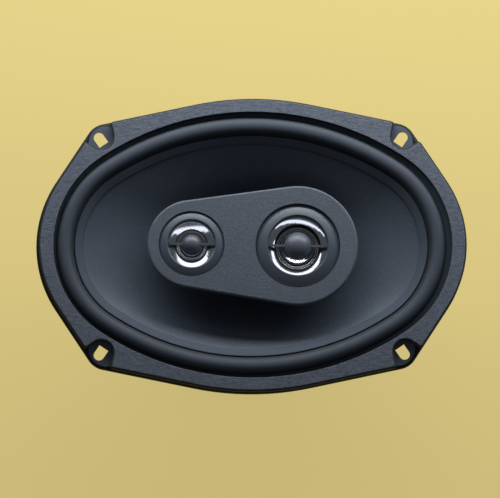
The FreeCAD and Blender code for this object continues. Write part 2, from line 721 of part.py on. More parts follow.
def hull(inset=0.0, z=0.0):
    """Tangent hull of the pod's two circles, each smaller by the inset."""
    mid_r = POD_MID_R - inset
    tweeter_r = POD_TWEETER_R - inset * POD_TWEETER_R / POD_MID_R
    contact = math.degrees(math.acos((tweeter_r - mid_r) / (MID_X - TWEETER_X)))
    mid = V(MID_X, 0, z)
    small = V(TWEETER_X, 0, z)
    upper = unit(contact)
    lower = unit(-contact)
    right_end = arc(mid + lower * mid_r, mid + V(mid_r, 0, 0), mid + upper * mid_r)
    top_side = line(mid + upper * mid_r, small + upper * tweeter_r)
    left_end = arc(small + upper * tweeter_r, small - V(tweeter_r, 0, 0), small + lower * tweeter_r)
    bottom_side = line(small + lower * tweeter_r, mid + lower * mid_r)
    return Part.Wire([right_end, top_side, left_end, bottom_side])


def pod_plate():
    plate = prism(hull(), FRONT_Z - POD_PLATE_THICK, FRONT_Z)
    rim = [e for e in plate.Edges if e.BoundBox.ZMin > FRONT_Z - 0.01]
    plate = plate.makeFillet(POD_EDGE_R, rim)
    for driver in (Midrange, Tweeter):
        plate = plate.cut(cylinder(driver.bezel_r + 0.25, FRONT_Z - 2.0, FRONT_Z + 1, driver.x))
        plate = plate.cut(cylinder(driver.mouth_r + 1.1, FRONT_Z - 5, FRONT_Z + 1, driver.x))
    for x, y in POD_SCREW_SITES:
        plate = plate.cut(cylinder(1.2, FRONT_Z - 5, FRONT_Z - 1.4, x, y))
    return plate


def pod_form(inset, low):
    """The pod behind its plate, filled: a short skirt, then a bowl down to its flat back."""
    top = FRONT_Z - POD_PLATE_THICK
    edge = hull(0.5 + inset, top)
    bend = hull(POD_SKIRT_INSET + inset, POD_SKIRT_Z)
    back = hull(POD_BACK_INSET + inset, low)
    return Part.makeLoft([edge, bend], True, True).fuse(Part.makeLoft([bend, back], True, True))


def pod_shell():
    """Hollow back of the pod, screwed to the plate from behind."""
    top = FRONT_Z - POD_PLATE_THICK
    outer = pod_form(0.0, POD_BACK_Z)
    shell = outer.cut(pod_form(POD_WALL, POD_BACK_Z + POD_WALL))
    for x, y in POD_SCREW_SITES:
        shell = shell.fuse(cylinder(POD_BOSS_R, POD_BACK_Z, top, x, y).common(outer))
    shell = shell.fuse(tube(POST_R + 2, SPIGOT_R, POD_BACK_Z, POST_TOP_Z + 0.4))
    shell = shell.cut(cylinder(SPIGOT_R + 0.03, POD_BACK_Z - 5, top))
    for x, y in POD_SCREW_SITES:
        shell = shell.cut(cylinder(1.5, POD_BACK_Z - 5, top + 1, x, y))
        shell = shell.cut(cylinder(2.7, POD_BACK_Z - 5, SCREW_SEAT_Z, x, y))
    return shell


def pod_screws():
    screws = []
    head_z = SCREW_SEAT_Z - 1.8
    for x, y in POD_SCREW_SITES:
        shank = cylinder(1.15, SCREW_SEAT_Z, FRONT_Z - 1.6, x, y)
        head = turned([(0, SCREW_SEAT_Z), (2.4, SCREW_SEAT_Z), (2.4, SCREW_SEAT_Z - 0.8),
                       (0, head_z, 1.6, head_z + 0.2)])
        head.translate(V(x, y, 0))
        slot = box(x - 0.35, x + 0.35, y - 1.6, y + 1.6, head_z - 1, head_z + 0.7)
        cross = box(x - 1.6, x + 1.6, y - 0.35, y + 0.35, head_z - 1, head_z + 0.7)
        screws.append(shank.fuse(head).cut(slot).cut(cross))
    return Part.Compound(screws)


# ---------------------------------------------------------------- small drivers

def bezel(d):
    """Trim ring sunk in the pod's plate: it rises to a crest, then turns down into the mouth."""
    crest_r = d.mouth_r + 1.2
    wall_r, wall_z = d.ring_outer
    outer_mid = (crest_r + d.bezel_r) / 2
    return turned([(d.bezel_r, FRONT_Z - 2.0), (d.bezel_r, FRONT_Z - 1.1),
                   (crest_r, FRONT_Z + 0.5, outer_mid, FRONT_Z + 0.02),
                   (d.mouth_r, FRONT_Z - 0.4, d.mouth_r + 0.4, FRONT_Z + 0.3),
                   (wall_r, FRONT_Z + wall_z), (d.mouth_r + 1.0, FRONT_Z + wall_z),
                   (d.mouth_r + 1.0, FRONT_Z - 2.0)], d.x)


def reflector(d):
    """Bright concave ring between the bezel's wall and the throat."""
    outer_r, outer_z = d.ring_outer
    inner_r, inner_z = d.ring_inner
    mid_r = (outer_r + inner_r) / 2 + 0.25
    mid_z = FRONT_Z + (outer_z + inner_z) / 2 - 0.35
    return turned([(d.mouth_r + 1.0, FRONT_Z + outer_z), (outer_r, FRONT_Z + outer_z),
                   (inner_r, FRONT_Z + inner_z, mid_r, mid_z),
                   (inner_r, FRONT_Z + inner_z - 0.6), (d.mouth_r + 1.0, FRONT_Z + inner_z - 0.6)], d.x)


def driver_housing(d):
    """Moulding that holds the reflector, the throat and the driver's motor under the pod's plate."""
    inner_r, inner_z = d.ring_inner
    throat_r, throat_z = d.throat_foot
    top = FRONT_Z - POD_PLATE_THICK
    seat_z = FRONT_Z + inner_z - 0.6
    foot_z = FRONT_Z + throat_z
    outside = d.mouth_r + 2.4
    cup_r = cup_outer_r(d) + 0.05
    skirt_z = foot_z - 5
    return turned([(outside, top), (d.mouth_r + 1.1, top), (d.mouth_r + 1.1, seat_z), (inner_r, seat_z),
                   (throat_r, foot_z), (cup_r, foot_z - 1.4), (cup_r, skirt_z), (cup_r + 1.35, skirt_z),
                   (cup_r + 1.35, seat_z - 1.5), (outside, seat_z - 1.5)], d.x)


def cup_outer_r(d):
    return d.surround_r + 0.3


def diaphragm(d):
    """Dome and ridged surround in one pressing."""
    edge_r = d.surround_r
    dome_r = d.dome_r
    z = FRONT_Z + d.throat_foot[1] + 0.3
    thick = 0.25
    gap = (edge_r - dome_r - 0.4) / 3
    under = []
    over = []
    for i in range(3):
        rise = 0.35 if i % 2 == 0 else -0.25
        start = dome_r + gap * i
        under.append((start + gap, z, start + gap / 2, z + rise))
        start = dome_r + gap * (3 - i)
        over.append((start - gap, z + thick, start - gap / 2, z + thick + rise))
    rise = d.dome_rise
    dome_curve = (rise ** 2 + dome_r ** 2) / (2 * rise)
    shoulder_r = dome_r * 0.55
    shoulder_z = math.sqrt(dome_curve ** 2 - shoulder_r ** 2) - (dome_curve - rise)
    return turned([(0, z + rise), (dome_r, z, shoulder_r, z + shoulder_z)] + under
                  + [(edge_r, z), (edge_r, z + thick), (edge_r - 0.4, z + thick)] + over
                  + [(0, z + rise + thick, shoulder_r, z + shoulder_z + thick)], d.x)


def driver_coil(d):
    dome_r = d.dome_r
    z = FRONT_Z + d.throat_foot[1] + 0.3
    return tube(dome_r + 0.1, dome_r - 0.35, z - 3.0, z, d.x)


def driver_cup(d):
    """Steel cup round the driver's magnet; its rim is the outer side of the coil's gap."""
    top = FRONT_Z + d.throat_foot[1] - 0.5
    bore = d.dome_r + 0.65
    outer = cup_outer_r(d)
    low = top - CUP_DEPTH
    floor = cup_floor_z(d)
    return turned([(0, low), (outer - 0.8, low), (outer, low + 0.8), (outer, top), (bore, top),
                   (bore, top - 2.4), (bore + 0.6, top - 3.0), (bore + 0.6, floor), (0, floor)], d.x)


def cup_floor_z(d):
    return FRONT_Z + d.throat_foot[1] - 0.5 - CUP_DEPTH + CUP_FLOOR


def driver_magnet(d):
    floor = cup_floor_z(d)
    return cylinder(d.magnet_r, floor, floor + DRIVER_MAGNET_THICK, d.x)


def driver_pole(d):
    low = cup_floor_z(d) + DRIVER_MAGNET_THICK
    high = low + DRIVER_POLE_THICK
    plate = cylinder(d.dome_r - 0.85, low, high, d.x)
    rim = [e for e in plate.Edges if e.BoundBox.ZMin > high - 0.01]
    return plate.makeChamfer(0.3, rim)


def phase_plug(d):
    """Domed plug carried in front of the diaphragm on a thin bar across the mouth."""
    bar_z = FRONT_Z - BAR_DEPTH
    base_z = bar_z - 0.2
    crown = base_z + d.plug_rise
    curve = (d.plug_rise ** 2 + d.plug_r ** 2) / (2 * d.plug_rise)
    shoulder_r = d.plug_r * 0.6
    shoulder_z = base_z + math.sqrt(curve ** 2 - shoulder_r ** 2) - (curve - d.plug_rise)
    plug = turned([(0, base_z - 2.2), (d.plug_r * 0.55, base_z - 1.9), (d.plug_r, base_z - 0.6),
                   (d.plug_r, base_z), (0, crown, shoulder_r, shoulder_z)], d.x)
    wall_r, wall_z = d.ring_outer
    mouth = turned([(0, FRONT_Z - 0.4), (d.mouth_r, FRONT_Z - 0.4), (wall_r, FRONT_Z + wall_z),
                    (0, FRONT_Z + wall_z)], d.x)
    half = BAR_WIDTH / 2
    bar = box(d.x - d.bezel_r, d.x + d.bezel_r, -half, half, bar_z - 0.9, bar_z + 0.6)
    return plug.fuse(bar.common(mouth))


def capacitor(x, length, r):
    """Sleeved capacitor lying across the middle of the pod."""
    can = Part.makeCylinder(r, length, V(x, -length / 2, CAPACITOR_Z), V(0, 1, 0))
    ends = [e for e in can.Edges if e.BoundBox.YLength < 0.01]
    return can.makeFillet(0.8, ends)


# ---------------------------------------------------------------- terminals

def terminal_board():
    width, depth, thick = BOARD
    near = BOARD_Y + depth / 2
    board = box(-width / 2, width / 2, BOARD_OUTER_Y, near, LEDGE_Z, BOARD_TOP_Z)
    corners = [e for e in board.Edges if e.BoundBox.ZLength > thick * 0.9]
    board = board.makeFillet(1.5, corners)
    for x in (-BLADE_X, BLADE_X):
        board = board.cut(cylinder(TERMINAL_HOLE_R, LEDGE_Z - 1, LEDGE_Z + 5, x, BOARD_Y))
    return board


def terminal_blade(x, width):
    """Push-on blade riveted to the board: a broad root, and a tongue of the blade's width past the edge."""
    low = BOARD_TOP_Z
    high = low + BLADE_THICK
    tip_y = BOARD_OUTER_Y - BLADE_LENGTH
    root = box(x - 3, x + 3, BOARD_OUTER_Y + 1.5, BOARD_Y + 4, low, high)
    tongue = box(x - width / 2, x + width / 2, tip_y, BOARD_OUTER_Y + 2, low, high)
    tip = [e for e in tongue.Edges if e.BoundBox.ZLength > BLADE_THICK * 0.9 and e.BoundBox.YMax < tip_y + 1]
    tongue = tongue.makeChamfer(width * 0.18, tip)
    catch = cylinder(0.7, low - 1, high + 1, x, tip_y + BLADE_LENGTH * 0.55)
    rivet_hole = cylinder(TERMINAL_HOLE_R, low - 1, high + 1, x, BOARD_Y)
    return root.fuse(tongue).cut(catch).cut(rivet_hole).removeSplitter()


def terminal_rivets():
    """Hollow rivets through blade, board and tab."""
    low = LEDGE_Z - SHEET
    high = BOARD_TOP_Z + BLADE_THICK
    rivets = []
    for x in (-BLADE_X, BLADE_X):
        shank = cylinder(TERMINAL_HOLE_R - 0.05, low, high, x, BOARD_Y)
        head = cylinder(2.3, high, high + 0.6, x, BOARD_Y)
        tail = cylinder(2.3, low - 0.6, low, x, BOARD_Y)
        rivets.append(shank.fuse([head, tail]).cut(cylinder(0.7, low - 1, high + 1, x, BOARD_Y)))
    return Part.Compound(rivets)


def lead_solder():
    """Solder that holds each tinsel lead on its blade."""
    low = BOARD_TOP_Z + BLADE_THICK
    x, y, high = LEAD_ROUTE[0]
    blobs = []
    for side in (1, -1):
        blob = turned([(0, low), (1.9, low), (1.1, high, 1.7, (low + high) / 2 + 0.15), (0, high)])
        blob.translate(V(x * side, y, 0))
        blobs.append(blob)
    return Part.Compound(blobs)


# From the tail of a terminal rivet, down the motor's side under the boot, and up inside the post.
POD_LEAD_ROUTE = ((8.0, -57.8, -42.8), (7.9, -57.4, -47.2), (5.4, -54.0, -51.4), (2.2, -49.9, -55.4),
                  (0.85, -46.6, -61.0), (0.85, -46.5, -69.2), (0.85, -46.5, -78.7), (0.85, -34.0, -78.6),
                  (0.85, -22.0, -78.7), (0.85, -11.5, -78.6), (0.85, 0.0, -78.7), (0.85, 0.1, -66.0),
                  (0.85, 0.0, -51.0), (0.85, 0.1, -36.0), (0.85, 0.0, -21.0), (0.85, 0.1, -9.0))
POD_LEAD_DIAMETER = 1.4


def pod_leads():
    leads = []
    for side in (1, -1):
        route = [(x * side, y, z) for x, y, z in POD_LEAD_ROUTE]
        leads.append(round_wire_tube(route, POD_LEAD_DIAMETER))
    return Part.Compound(leads)


# ---------------------------------------------------------------- everything

def in_pod(shape):
    shape.rotate(V(0, 0, 0), Z_AXIS, POD_TURN)
    return shape


def all_parts():
    parts = {
        "basket": basket(),
        "trim_ring": trim_ring(),
        "top_plate": top_plate(),
        "basket_rivets": basket_rivets(),
        "ferrite_magnet": ferrite_magnet(),
        "pole_yoke": pole_yoke(),
        "magnet_boot": magnet_boot(),
        "terminal_board": terminal_board(),
        "terminal_blade_positive": terminal_blade(-BLADE_X, POSITIVE_BLADE_WIDTH),
        "terminal_blade_negative": terminal_blade(BLADE_X, NEGATIVE_BLADE_WIDTH),
        "terminal_rivets": terminal_rivets(),
        "cone": cone(),
        "surround": surround(),
        "spider": spider(),
        "coil_former": coil_former(),
        "voice_coil": voice_coil(),
        "tinsel_lead_positive": tinsel_lead(-1),
        "tinsel_lead_negative": tinsel_lead(1),
        "lead_joints": lead_joints(),
        "lead_solder": lead_solder(),
        "tweeter_post": tweeter_post(),
        "post_nut": post_nut(),
        "pod_leads": pod_leads(),
        "pod_plate": in_pod(pod_plate()),
        "pod_shell": in_pod(pod_shell()),
        "pod_screws": in_pod(pod_screws()),
        "midrange_capacitor": in_pod(capacitor(1.0, 17.0, 4.0)),
        "tweeter_capacitor": in_pod(capacitor(-11.0, 14.0, 3.2)),
    }
    for d in (Midrange, Tweeter):
        parts[d.name + "_bezel"] = in_pod(bezel(d))
        parts[d.name + "_reflector"] = in_pod(reflector(d))
        parts[d.name + "_housing"] = in_pod(driver_housing(d))
        parts[d.name + "_phase_plug"] = in_pod(phase_plug(d))
        parts[d.name + "_dome"] = in_pod(diaphragm(d))
        parts[d.name + "_coil"] = in_pod(driver_coil(d))
        parts[d.name + "_cup"] = in_pod(driver_cup(d))
        parts[d.name + "_magnet"] = in_pod(driver_magnet(d))
        parts[d.name + "_pole"] = in_pod(driver_pole(d))
    return parts


def main():
    os.makedirs("parts", exist_ok=True)
    for name, shape in all_parts().items():
        size = shape.BoundBox
        print("%-26s solids %d valid %s volume %.1f box %.2f %.2f %.2f to %.2f %.2f %.2f" % (
            name, len(shape.Solids), shape.isValid(), shape.Volume,
            size.XMin, size.YMin, size.ZMin, size.XMax, size.YMax, size.ZMax))
        shape.exportStep("parts/%s.step" % name)


main()
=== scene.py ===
"""Looks of an oval coaxial car speaker, laid out as an add-on: one operator for each group of pieces."""

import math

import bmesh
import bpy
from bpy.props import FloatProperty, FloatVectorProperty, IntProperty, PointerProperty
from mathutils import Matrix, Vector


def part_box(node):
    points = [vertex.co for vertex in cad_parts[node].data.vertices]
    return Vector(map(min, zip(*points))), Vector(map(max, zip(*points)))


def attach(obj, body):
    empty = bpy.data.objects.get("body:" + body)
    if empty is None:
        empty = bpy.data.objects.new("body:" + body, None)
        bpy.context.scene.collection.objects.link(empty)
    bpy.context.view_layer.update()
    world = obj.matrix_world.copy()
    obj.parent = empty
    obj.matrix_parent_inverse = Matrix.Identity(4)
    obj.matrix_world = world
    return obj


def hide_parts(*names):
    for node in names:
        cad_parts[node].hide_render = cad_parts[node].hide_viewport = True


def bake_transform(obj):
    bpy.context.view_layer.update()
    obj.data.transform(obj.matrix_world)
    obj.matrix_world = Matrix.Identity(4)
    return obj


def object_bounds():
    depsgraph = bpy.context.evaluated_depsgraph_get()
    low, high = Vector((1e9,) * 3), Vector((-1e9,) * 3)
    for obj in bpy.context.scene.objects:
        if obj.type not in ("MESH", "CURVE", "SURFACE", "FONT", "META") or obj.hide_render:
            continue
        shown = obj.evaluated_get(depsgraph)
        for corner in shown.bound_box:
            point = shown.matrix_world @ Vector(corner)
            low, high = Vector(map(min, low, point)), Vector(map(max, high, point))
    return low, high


bl_info = {
    "name": "Oval Coaxial Speaker",
    "version": (1, 0, 0),
    "blender": (4, 5, 0),
    "location": "View3D > Sidebar > Speaker",
    "description": "Builds the visible pieces and finishes of an oval coaxial car speaker",
    "category": "Add Mesh",
}

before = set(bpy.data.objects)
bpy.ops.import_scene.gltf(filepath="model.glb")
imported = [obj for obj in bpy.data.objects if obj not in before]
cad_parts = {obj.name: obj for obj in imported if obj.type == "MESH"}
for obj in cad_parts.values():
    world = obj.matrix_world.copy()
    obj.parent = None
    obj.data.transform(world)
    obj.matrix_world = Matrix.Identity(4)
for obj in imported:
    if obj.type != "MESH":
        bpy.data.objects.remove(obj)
CAD_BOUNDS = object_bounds()

BASKET = "basket_assembly"
CONE = "cone_assembly"
DIAPHRAGMS = {"midrange": "midrange_diaphragm", "tweeter": "tweeter_diaphragm"}
FRONT_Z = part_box("trim_ring")[1].z
FLANGE_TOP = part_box("basket")[1].z
# The round part of the flange round each screw slot, whose flat face is painted lighter as a painted sheen, up to
# a little inside its edge.
LUG_X = 0.0791
LUG_Y = 0.0565
LUG_R = 0.0115
LUG_SHEEN_FADE = (LUG_R - 0.0022, LUG_R - 0.0014)
RIB_ANGLE = math.radians(38)


# ---------------------------------------------------------------- sizes and colours

def length(name, description, default):
    return FloatProperty(name=name, description=description, default=default, unit="LENGTH", precision=5)


def slope(name, description, degrees):
    return FloatProperty(name=name, description=description, default=math.radians(degrees), subtype="ANGLE")


def colour(name, description, default):
    return FloatVectorProperty(name=name, description=description, default=default, size=3,
                               subtype="COLOR", min=0.0, max=1.0)


class OvalSizes(bpy.types.PropertyGroup):
    end_centre: length("End centre", "Centre of each end arc of the oval, from the middle", 0.05097)
    side_centre: length("Side centre", "Centre of each side arc of the oval, from the middle", 0.0761)
    steps: IntProperty(name="Steps", description="Stretches round the oval", default=320, min=64, max=640)


class ConeSizes(bpy.types.PropertyGroup):
    rim_r: length("Rim", "End-arc radius of the cone's rim", 0.0454)
    rim_z: length("Rim height", "Height of the cone's rim", 0.0019)
    bend_r: length("Bend", "End-arc radius where the rim's land begins", 0.0404)
    bend_z: length("Bend height", "Height of that bend", -0.0009)
    neck_r: length("Neck", "Radius of the round neck", 0.0163)
    neck_z: length("Neck height", "Height of the neck", -0.037)
    bow: FloatProperty(name="Bow", description="Share by which the cone's side bows forward", default=0.15)
    sheet: length("Sheet", "Thickness of the moulding along its axis", 0.0009)
    collar: length("Collar", "Depth of the collar glued on the former", 0.003)


class SurroundSizes(bpy.types.PropertyGroup):
    lip_r: length("Lip", "End-arc radius of the lip glued to the flange", 0.0596)
    lip_low: length("Lip foot", "Height of the flange under the lip", 0.0028)
    lip_high: length("Lip top", "Height of the lip's front", 0.0033)
    roll_outer: length("Roll outside", "End-arc radius of the roll's outer foot", 0.05565)
    roll_inner: length("Roll inside", "End-arc radius of the roll's inner foot", 0.046)
    roll_top: length("Roll top", "Height of the roll", 0.00725)
    joint_r: length("Joint", "End-arc radius where the inner band ends on the cone", 0.0409)
    band: length("Band", "Thickness of the inner band", 0.00075)
    rubber: length("Rubber", "Thickness of the roll", 0.0007)


class SpiderSizes(bpy.types.PropertyGroup):
    sectors: IntProperty(name="Sectors", description="Number of pieces that the disc flexes in", default=12)
    inner_r: length("Inside", "Radius of the glued inner edge", 0.0163)
    first_r: length("First wave", "Radius where the waves begin", 0.0186)
    last_r: length("Last wave", "Radius where the waves end", 0.0368)
    outer_r: length("Outside", "Radius of the glued outer edge", 0.0465)
    waves: IntProperty(name="Waves", description="Number of half waves", default=9)
    height: length("Wave height", "Height of each half wave", 0.00071)
    cloth: length("Cloth", "Thickness of the cloth", 0.0005)


class MidrangeSizes(bpy.types.PropertyGroup):
    mouth_r: length("Mouth", "Radius of the bezel's mouth", 0.0163)
    ring_outer_r: length("Ring outside", "Outer radius of the bright ring", 0.0161)
    ring_inner_r: length("Ring inside", "Inner radius of the bright ring", 0.0128)
    ring_inner_z: length("Ring back", "Depth of the bright ring's inner edge", -0.0070)
    ring_inner_slope: slope("Ring inner slope", "Slope of the bright ring at its inner edge", 23.0)
    ring_outer_slope: slope("Ring outer slope", "Slope of the bright ring at its outer edge", 17.2)
    ring_step: length("Ring step", "Width of the flatter step round the bright ring", 0.0)
    edge_r: length("Diaphragm", "Outer radius of the diaphragm", 0.0117)
    dome_r: length("Dome", "Radius of the dome", 0.0084)
    dome_rise: length("Dome rise", "Height of the dome", 0.00205)
    foot_z: length("Foot", "Depth of the diaphragm's edge", -0.0131)


class TweeterSizes(bpy.types.PropertyGroup):
    mouth_r: length("Mouth", "Radius of the bezel's mouth", 0.01295)
    ring_outer_r: length("Ring outside", "Outer radius of the bright ring", 0.0127)
    ring_inner_r: length("Ring inside", "Inner radius of the bright ring", 0.00895)
    ring_inner_z: length("Ring back", "Depth of the bright ring's inner edge", -0.0063)
    ring_inner_slope: slope("Ring inner slope", "Slope of the bright ring at its inner edge", 19.9)
    ring_outer_slope: slope("Ring outer slope", "Slope of the bright ring at its outer edge", 17.6)
    ring_step: length("Ring step", "Width of the flatter step round the bright ring", 0.0004)
    edge_r: length("Diaphragm", "Outer radius of the diaphragm", 0.0084)
    dome_r: length("Dome", "Radius of the dome", 0.0056)
    dome_rise: length("Dome rise", "Height of the dome", 0.002)
    foot_z: length("Foot", "Depth of the diaphragm's edge", -0.0079)


class SpeakerColours(bpy.types.PropertyGroup):
    paint: colour("Paint", "Paint of the steel basket", (0.006, 0.0085, 0.0135))
    # Painted sheen: the flat flange face round each screw slot is painted this lighter grey, as if it caught the
    # light.
    painted_lug_sheen: colour("Flange face", "Paint on the flange's front, dulled by handling", (0.078, 0.098, 0.13))
    gasket: colour("Trim ring", "Moulded trim ring", (0.075, 0.093, 0.126))
    cone: colour("Cone", "Moulded cone", (0.051, 0.066, 0.091))
    flake: colour("Flake", "Fine flake in the cone", (0.14, 0.17, 0.21))
    rubber: colour("Rubber", "Surround", (0.042, 0.055, 0.075))
    band: colour("Band", "Surround's glued inner band", (0.05, 0.065, 0.088))
    pod: colour("Pod", "Moulded pod", (0.064, 0.082, 0.11))
    bezel: colour("Bezel", "Bezels of the small drivers", (0.056, 0.071, 0.097))
    throat: colour("Throat", "Throats of the small drivers", (0.012, 0.014, 0.018))
    plug: colour("Plug", "Phase plugs", (0.062, 0.076, 0.1))
    film: colour("Film", "Diaphragms of the small drivers", (0.6, 0.65, 0.74))
    boot: colour("Boot", "Rubber boot on the magnet", (0.014, 0.014, 0.015))
    ferrite: colour("Ferrite", "Ring magnet", (0.030, 0.029, 0.030))
    cloth: colour("Spider", "Resin-dipped cloth", (0.46, 0.27, 0.075))
    board: colour("Board", "Terminal board", (0.20, 0.085, 0.022))
    sleeve: colour("Sleeve", "Sleeves of the capacitors", (0.010, 0.024, 0.10))
    floor: colour("Floor", "Plain floor", (0.7, 0.575, 0.225))


GROUPS = {
    "speaker_oval": OvalSizes,
    "speaker_cone": ConeSizes,
    "speaker_surround": SurroundSizes,
    "speaker_spider": SpiderSizes,
    "speaker_midrange": MidrangeSizes,
    "speaker_tweeter": TweeterSizes,
    "speaker_colours": SpeakerColours,
}


def sizes(name):
    return getattr(bpy.context.scene, "speaker_" + name)


def colours():
    return bpy.context.scene.speaker_colours


# ---------------------------------------------------------------- node trees

class Link:
    """The output of a node. Arithmetic on it adds Math nodes to its tree."""

    def __init__(self, tree, socket):
        self.tree = tree
        self.socket = socket

    def math(self, operation, *values):
        node = self.tree.nodes.new("ShaderNodeMath")
        node.operation = operation
        for place, value in enumerate(values):
            if isinstance(value, Link):
                self.tree.links.new(value.socket, node.inputs[place])
            else:
                node.inputs[place].default_value = value
        return Link(self.tree, node.outputs[0])

    def __add__(self, other):
        return self.math("ADD", self, other)

    def __radd__(self, other):
        return self.math("ADD", other, self)

    def __sub__(self, other):
        return self.math("SUBTRACT", self, other)

    def __rsub__(self, other):
        return self.math("SUBTRACT", other, self)

    def __mul__(self, other):
        return self.math("MULTIPLY", self, other)

    def __rmul__(self, other):
        return self.math("MULTIPLY", other, self)

    def __truediv__(self, other):
        return self.math("DIVIDE", self, other)

    def sin(self):
        return self.math("SINE", self)

    def cos(self):
        return self.math("COSINE", self)

    def size(self):
        return self.math("ABSOLUTE", self)

    def root(self):
        return self.math("SQRT", self)

    def clamped(self):
        return self.math("MINIMUM", self.math("MAXIMUM", self, 0.0), 1.0)


class Graph:
    """A node tree being built. Every node but Math comes from node()."""

    def __init__(self, tree):
        self.tree = tree

    def node(self, kind, inputs=None, output=0, stops=None, **settings):
        node = self.tree.nodes.new(kind)
        for name, value in settings.items():
            setattr(node, name, value)
        if stops:
            ramp = node.color_ramp
            while len(ramp.elements) < len(stops):
                ramp.elements.new(0.5)
            for element, (place, shade) in zip(ramp.elements, stops):
                element.position = place
                element.color = (*shade, 1.0)
        for name, value in (inputs or {}).items():
            socket = node.inputs[name]
            if isinstance(value, Link):
                self.tree.links.new(value.socket, socket)
            else:
                socket.default_value = value
        return Link(self.tree, node.outputs[output])

    def join(self, *parts):
        """Several geometries as one."""
        node = self.tree.nodes.new("GeometryNodeJoinGeometry")
        for part in reversed(parts):
            self.tree.links.new(part.socket, node.inputs[0])
        return Link(self.tree, node.outputs[0])

    def boolean(self, operation, body, tools):
        node = self.tree.nodes.new("GeometryNodeMeshBoolean")
        node.operation = operation
        self.tree.links.new(body.socket, node.inputs["Mesh 1"])
        for tool in tools:
            self.tree.links.new(tool.socket, node.inputs["Mesh 2"])
        return Link(self.tree, node.outputs[0])

    def split(self, vector):
        """The three numbers of a vector."""
        node = self.tree.nodes.new("ShaderNodeSeparateXYZ")
        self.tree.links.new(vector.socket, node.inputs[0])
        return [Link(self.tree, out) for out in node.outputs]


class Finish(Graph):
    """A material of one Principled shader, with its patterns on Object coordinates."""

    def __init__(self, name, base, roughness, **fixed):
        self.material = bpy.data.materials.new(name)
        self.material.use_nodes = True
        super().__init__(self.material.node_tree)
        self.shader = self.tree.nodes["Principled BSDF"]
        self.place = self.node("ShaderNodeTexCoord", output="Object")
        self.set("Base Color", (*base, 1.0))
        self.set("Roughness", roughness)
        for name, value in fixed.items():
            self.set(name.replace("_", " "), value)

    def set(self, name, value):
        socket = self.shader.inputs[name]
        if isinstance(value, Link):
            self.tree.links.new(value.socket, socket)
        else:
            socket.default_value = value

    def noise(self, scale, detail=2.0, stretch=None, rough=0.5):
        """Noise from 0 to 1; scale is in features a metre, and stretch is a scale for each axis."""
        vector = self.place
        if stretch:
            vector = self.node("ShaderNodeMapping", {"Vector": vector, "Scale": stretch})
        return self.node("ShaderNodeTexNoise", {"Vector": vector, "Scale": scale, "Detail": detail,
                                                "Roughness": rough}, output="Fac")

    def cells(self, scale):
        """Random brightness of small cells, from 0 to 1."""
        shade = self.node("ShaderNodeTexVoronoi", {"Vector": self.place, "Scale": scale}, output="Color")
        return self.split(shade)[0]

    def range(self, value, low, high, to_low=0.0, to_high=1.0):
        return self.node("ShaderNodeMapRange", {"Value": value, "From Min": low, "From Max": high,
                                                "To Min": to_low, "To Max": to_high},
                         interpolation_type="SMOOTHSTEP")

    def mix(self, mask, first, second):
        """Two colours mixed by a mask; either may be a plain tuple."""
        first = first if isinstance(first, Link) else (*first, 1.0)
        second = second if isinstance(second, Link) else (*second, 1.0)
        return self.node("ShaderNodeMix", {0: mask, 6: first, 7: second}, output=2, data_type="RGBA")

    def bump(self, height, distance, strength=1.0):
        """A height from 0 to 1 over that distance, in metres."""
        self.set("Normal", self.node("ShaderNodeBump", {"Height": height, "Distance": distance,
                                                        "Strength": strength}))


def scaled(shade, factor):
    return tuple(min(1.0, part * factor) for part in shade)


# ---------------------------------------------------------------- finishes

def paint_finish():
    """Satin black paint on pressed steel, with a faint orange peel and dust, and a painted sheen on the flat face
    round each screw slot.
    """
    shade = colours().paint
    f = Finish("basket_paint", shade, 0.5, Specular_IOR_Level=0.15)
    peel = f.noise(900.0, 2.0)
    worn = f.range(f.noise(60.0, 5.0, rough=0.65), 0.55, 0.8)
    x, y, z = f.split(f.place)
    across = x.size() - LUG_X
    along = y.size() - LUG_Y
    from_lug = (across * across + along * along).root()
    # Painted sheen: the flange's flat front round each screw slot is mixed to the lighter grey, which fades back
    # to black paint towards the slot's edge.
    face = f.range(z, FLANGE_TOP - 0.0006, FLANGE_TOP - 0.0001)
    face = face * f.range(from_lug, *LUG_SHEEN_FADE, 1.0, 0.0)
    f.set("Base Color", f.mix(face * 0.9 + worn * 0.1, shade, colours().painted_lug_sheen))
    f.set("Roughness", 0.48 + worn * 0.15)
    f.bump(peel, 0.00006, 0.5)
    return f.material


def gasket_finish():
    """Soft grey moulding with a fine straight grain along the speaker's length; its sides and rounded edges are
    painted darker than its front, a painted shade.
    """
    shade = colours().gasket
    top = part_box("trim_ring")[1].z
    f = Finish("trim_ring_moulding", shade, 0.5, Specular_IOR_Level=0.4)
    grain = f.range(f.noise(1.0, 4.0, stretch=(230.0, 2100.0, 2100.0), rough=0.7), 0.32, 0.68)
    blotch = f.range(f.noise(420.0, 4.0, rough=0.7), 0.3, 0.7)
    speck = f.cells(1900.0)
    # Painted shade: everything below the front face is mixed to a fifth of the moulding's colour.
    face = f.range(f.split(f.place)[2], top - 0.00012, top - 0.00002)
    mottled = f.mix(grain * 0.42 + blotch * 0.28 + speck * 0.3, scaled(shade, 0.48), scaled(shade, 1.50))
    f.set("Base Color", f.mix(face, scaled(shade, 0.2), mottled))
    f.set("Roughness", 0.74 + grain * 0.10 + blotch * 0.08 - face * 0.26)
    f.bump(grain * 0.7 + blotch, 0.00014, 0.55)
    return f.material


def cone_finish():
    """Dull moulded polymer with a fine flake in it."""
    shade = colours().cone
    f = Finish("cone_polymer", shade, 0.5, Specular_IOR_Level=0.25)
    flake = f.range(f.cells(3200.0), 0.80, 0.98)
    cloud = f.noise(45.0, 4.0)
    base = f.mix(cloud, scaled(shade, 0.9), scaled(shade, 1.1))
    f.set("Base Color", f.mix(flake * 0.35, base, colours().flake))
    f.set("Roughness", 0.46 + cloud * 0.1 - flake * 0.1)
    f.bump(f.noise(1500.0, 2.0), 0.00004, 0.5)
    return f.material


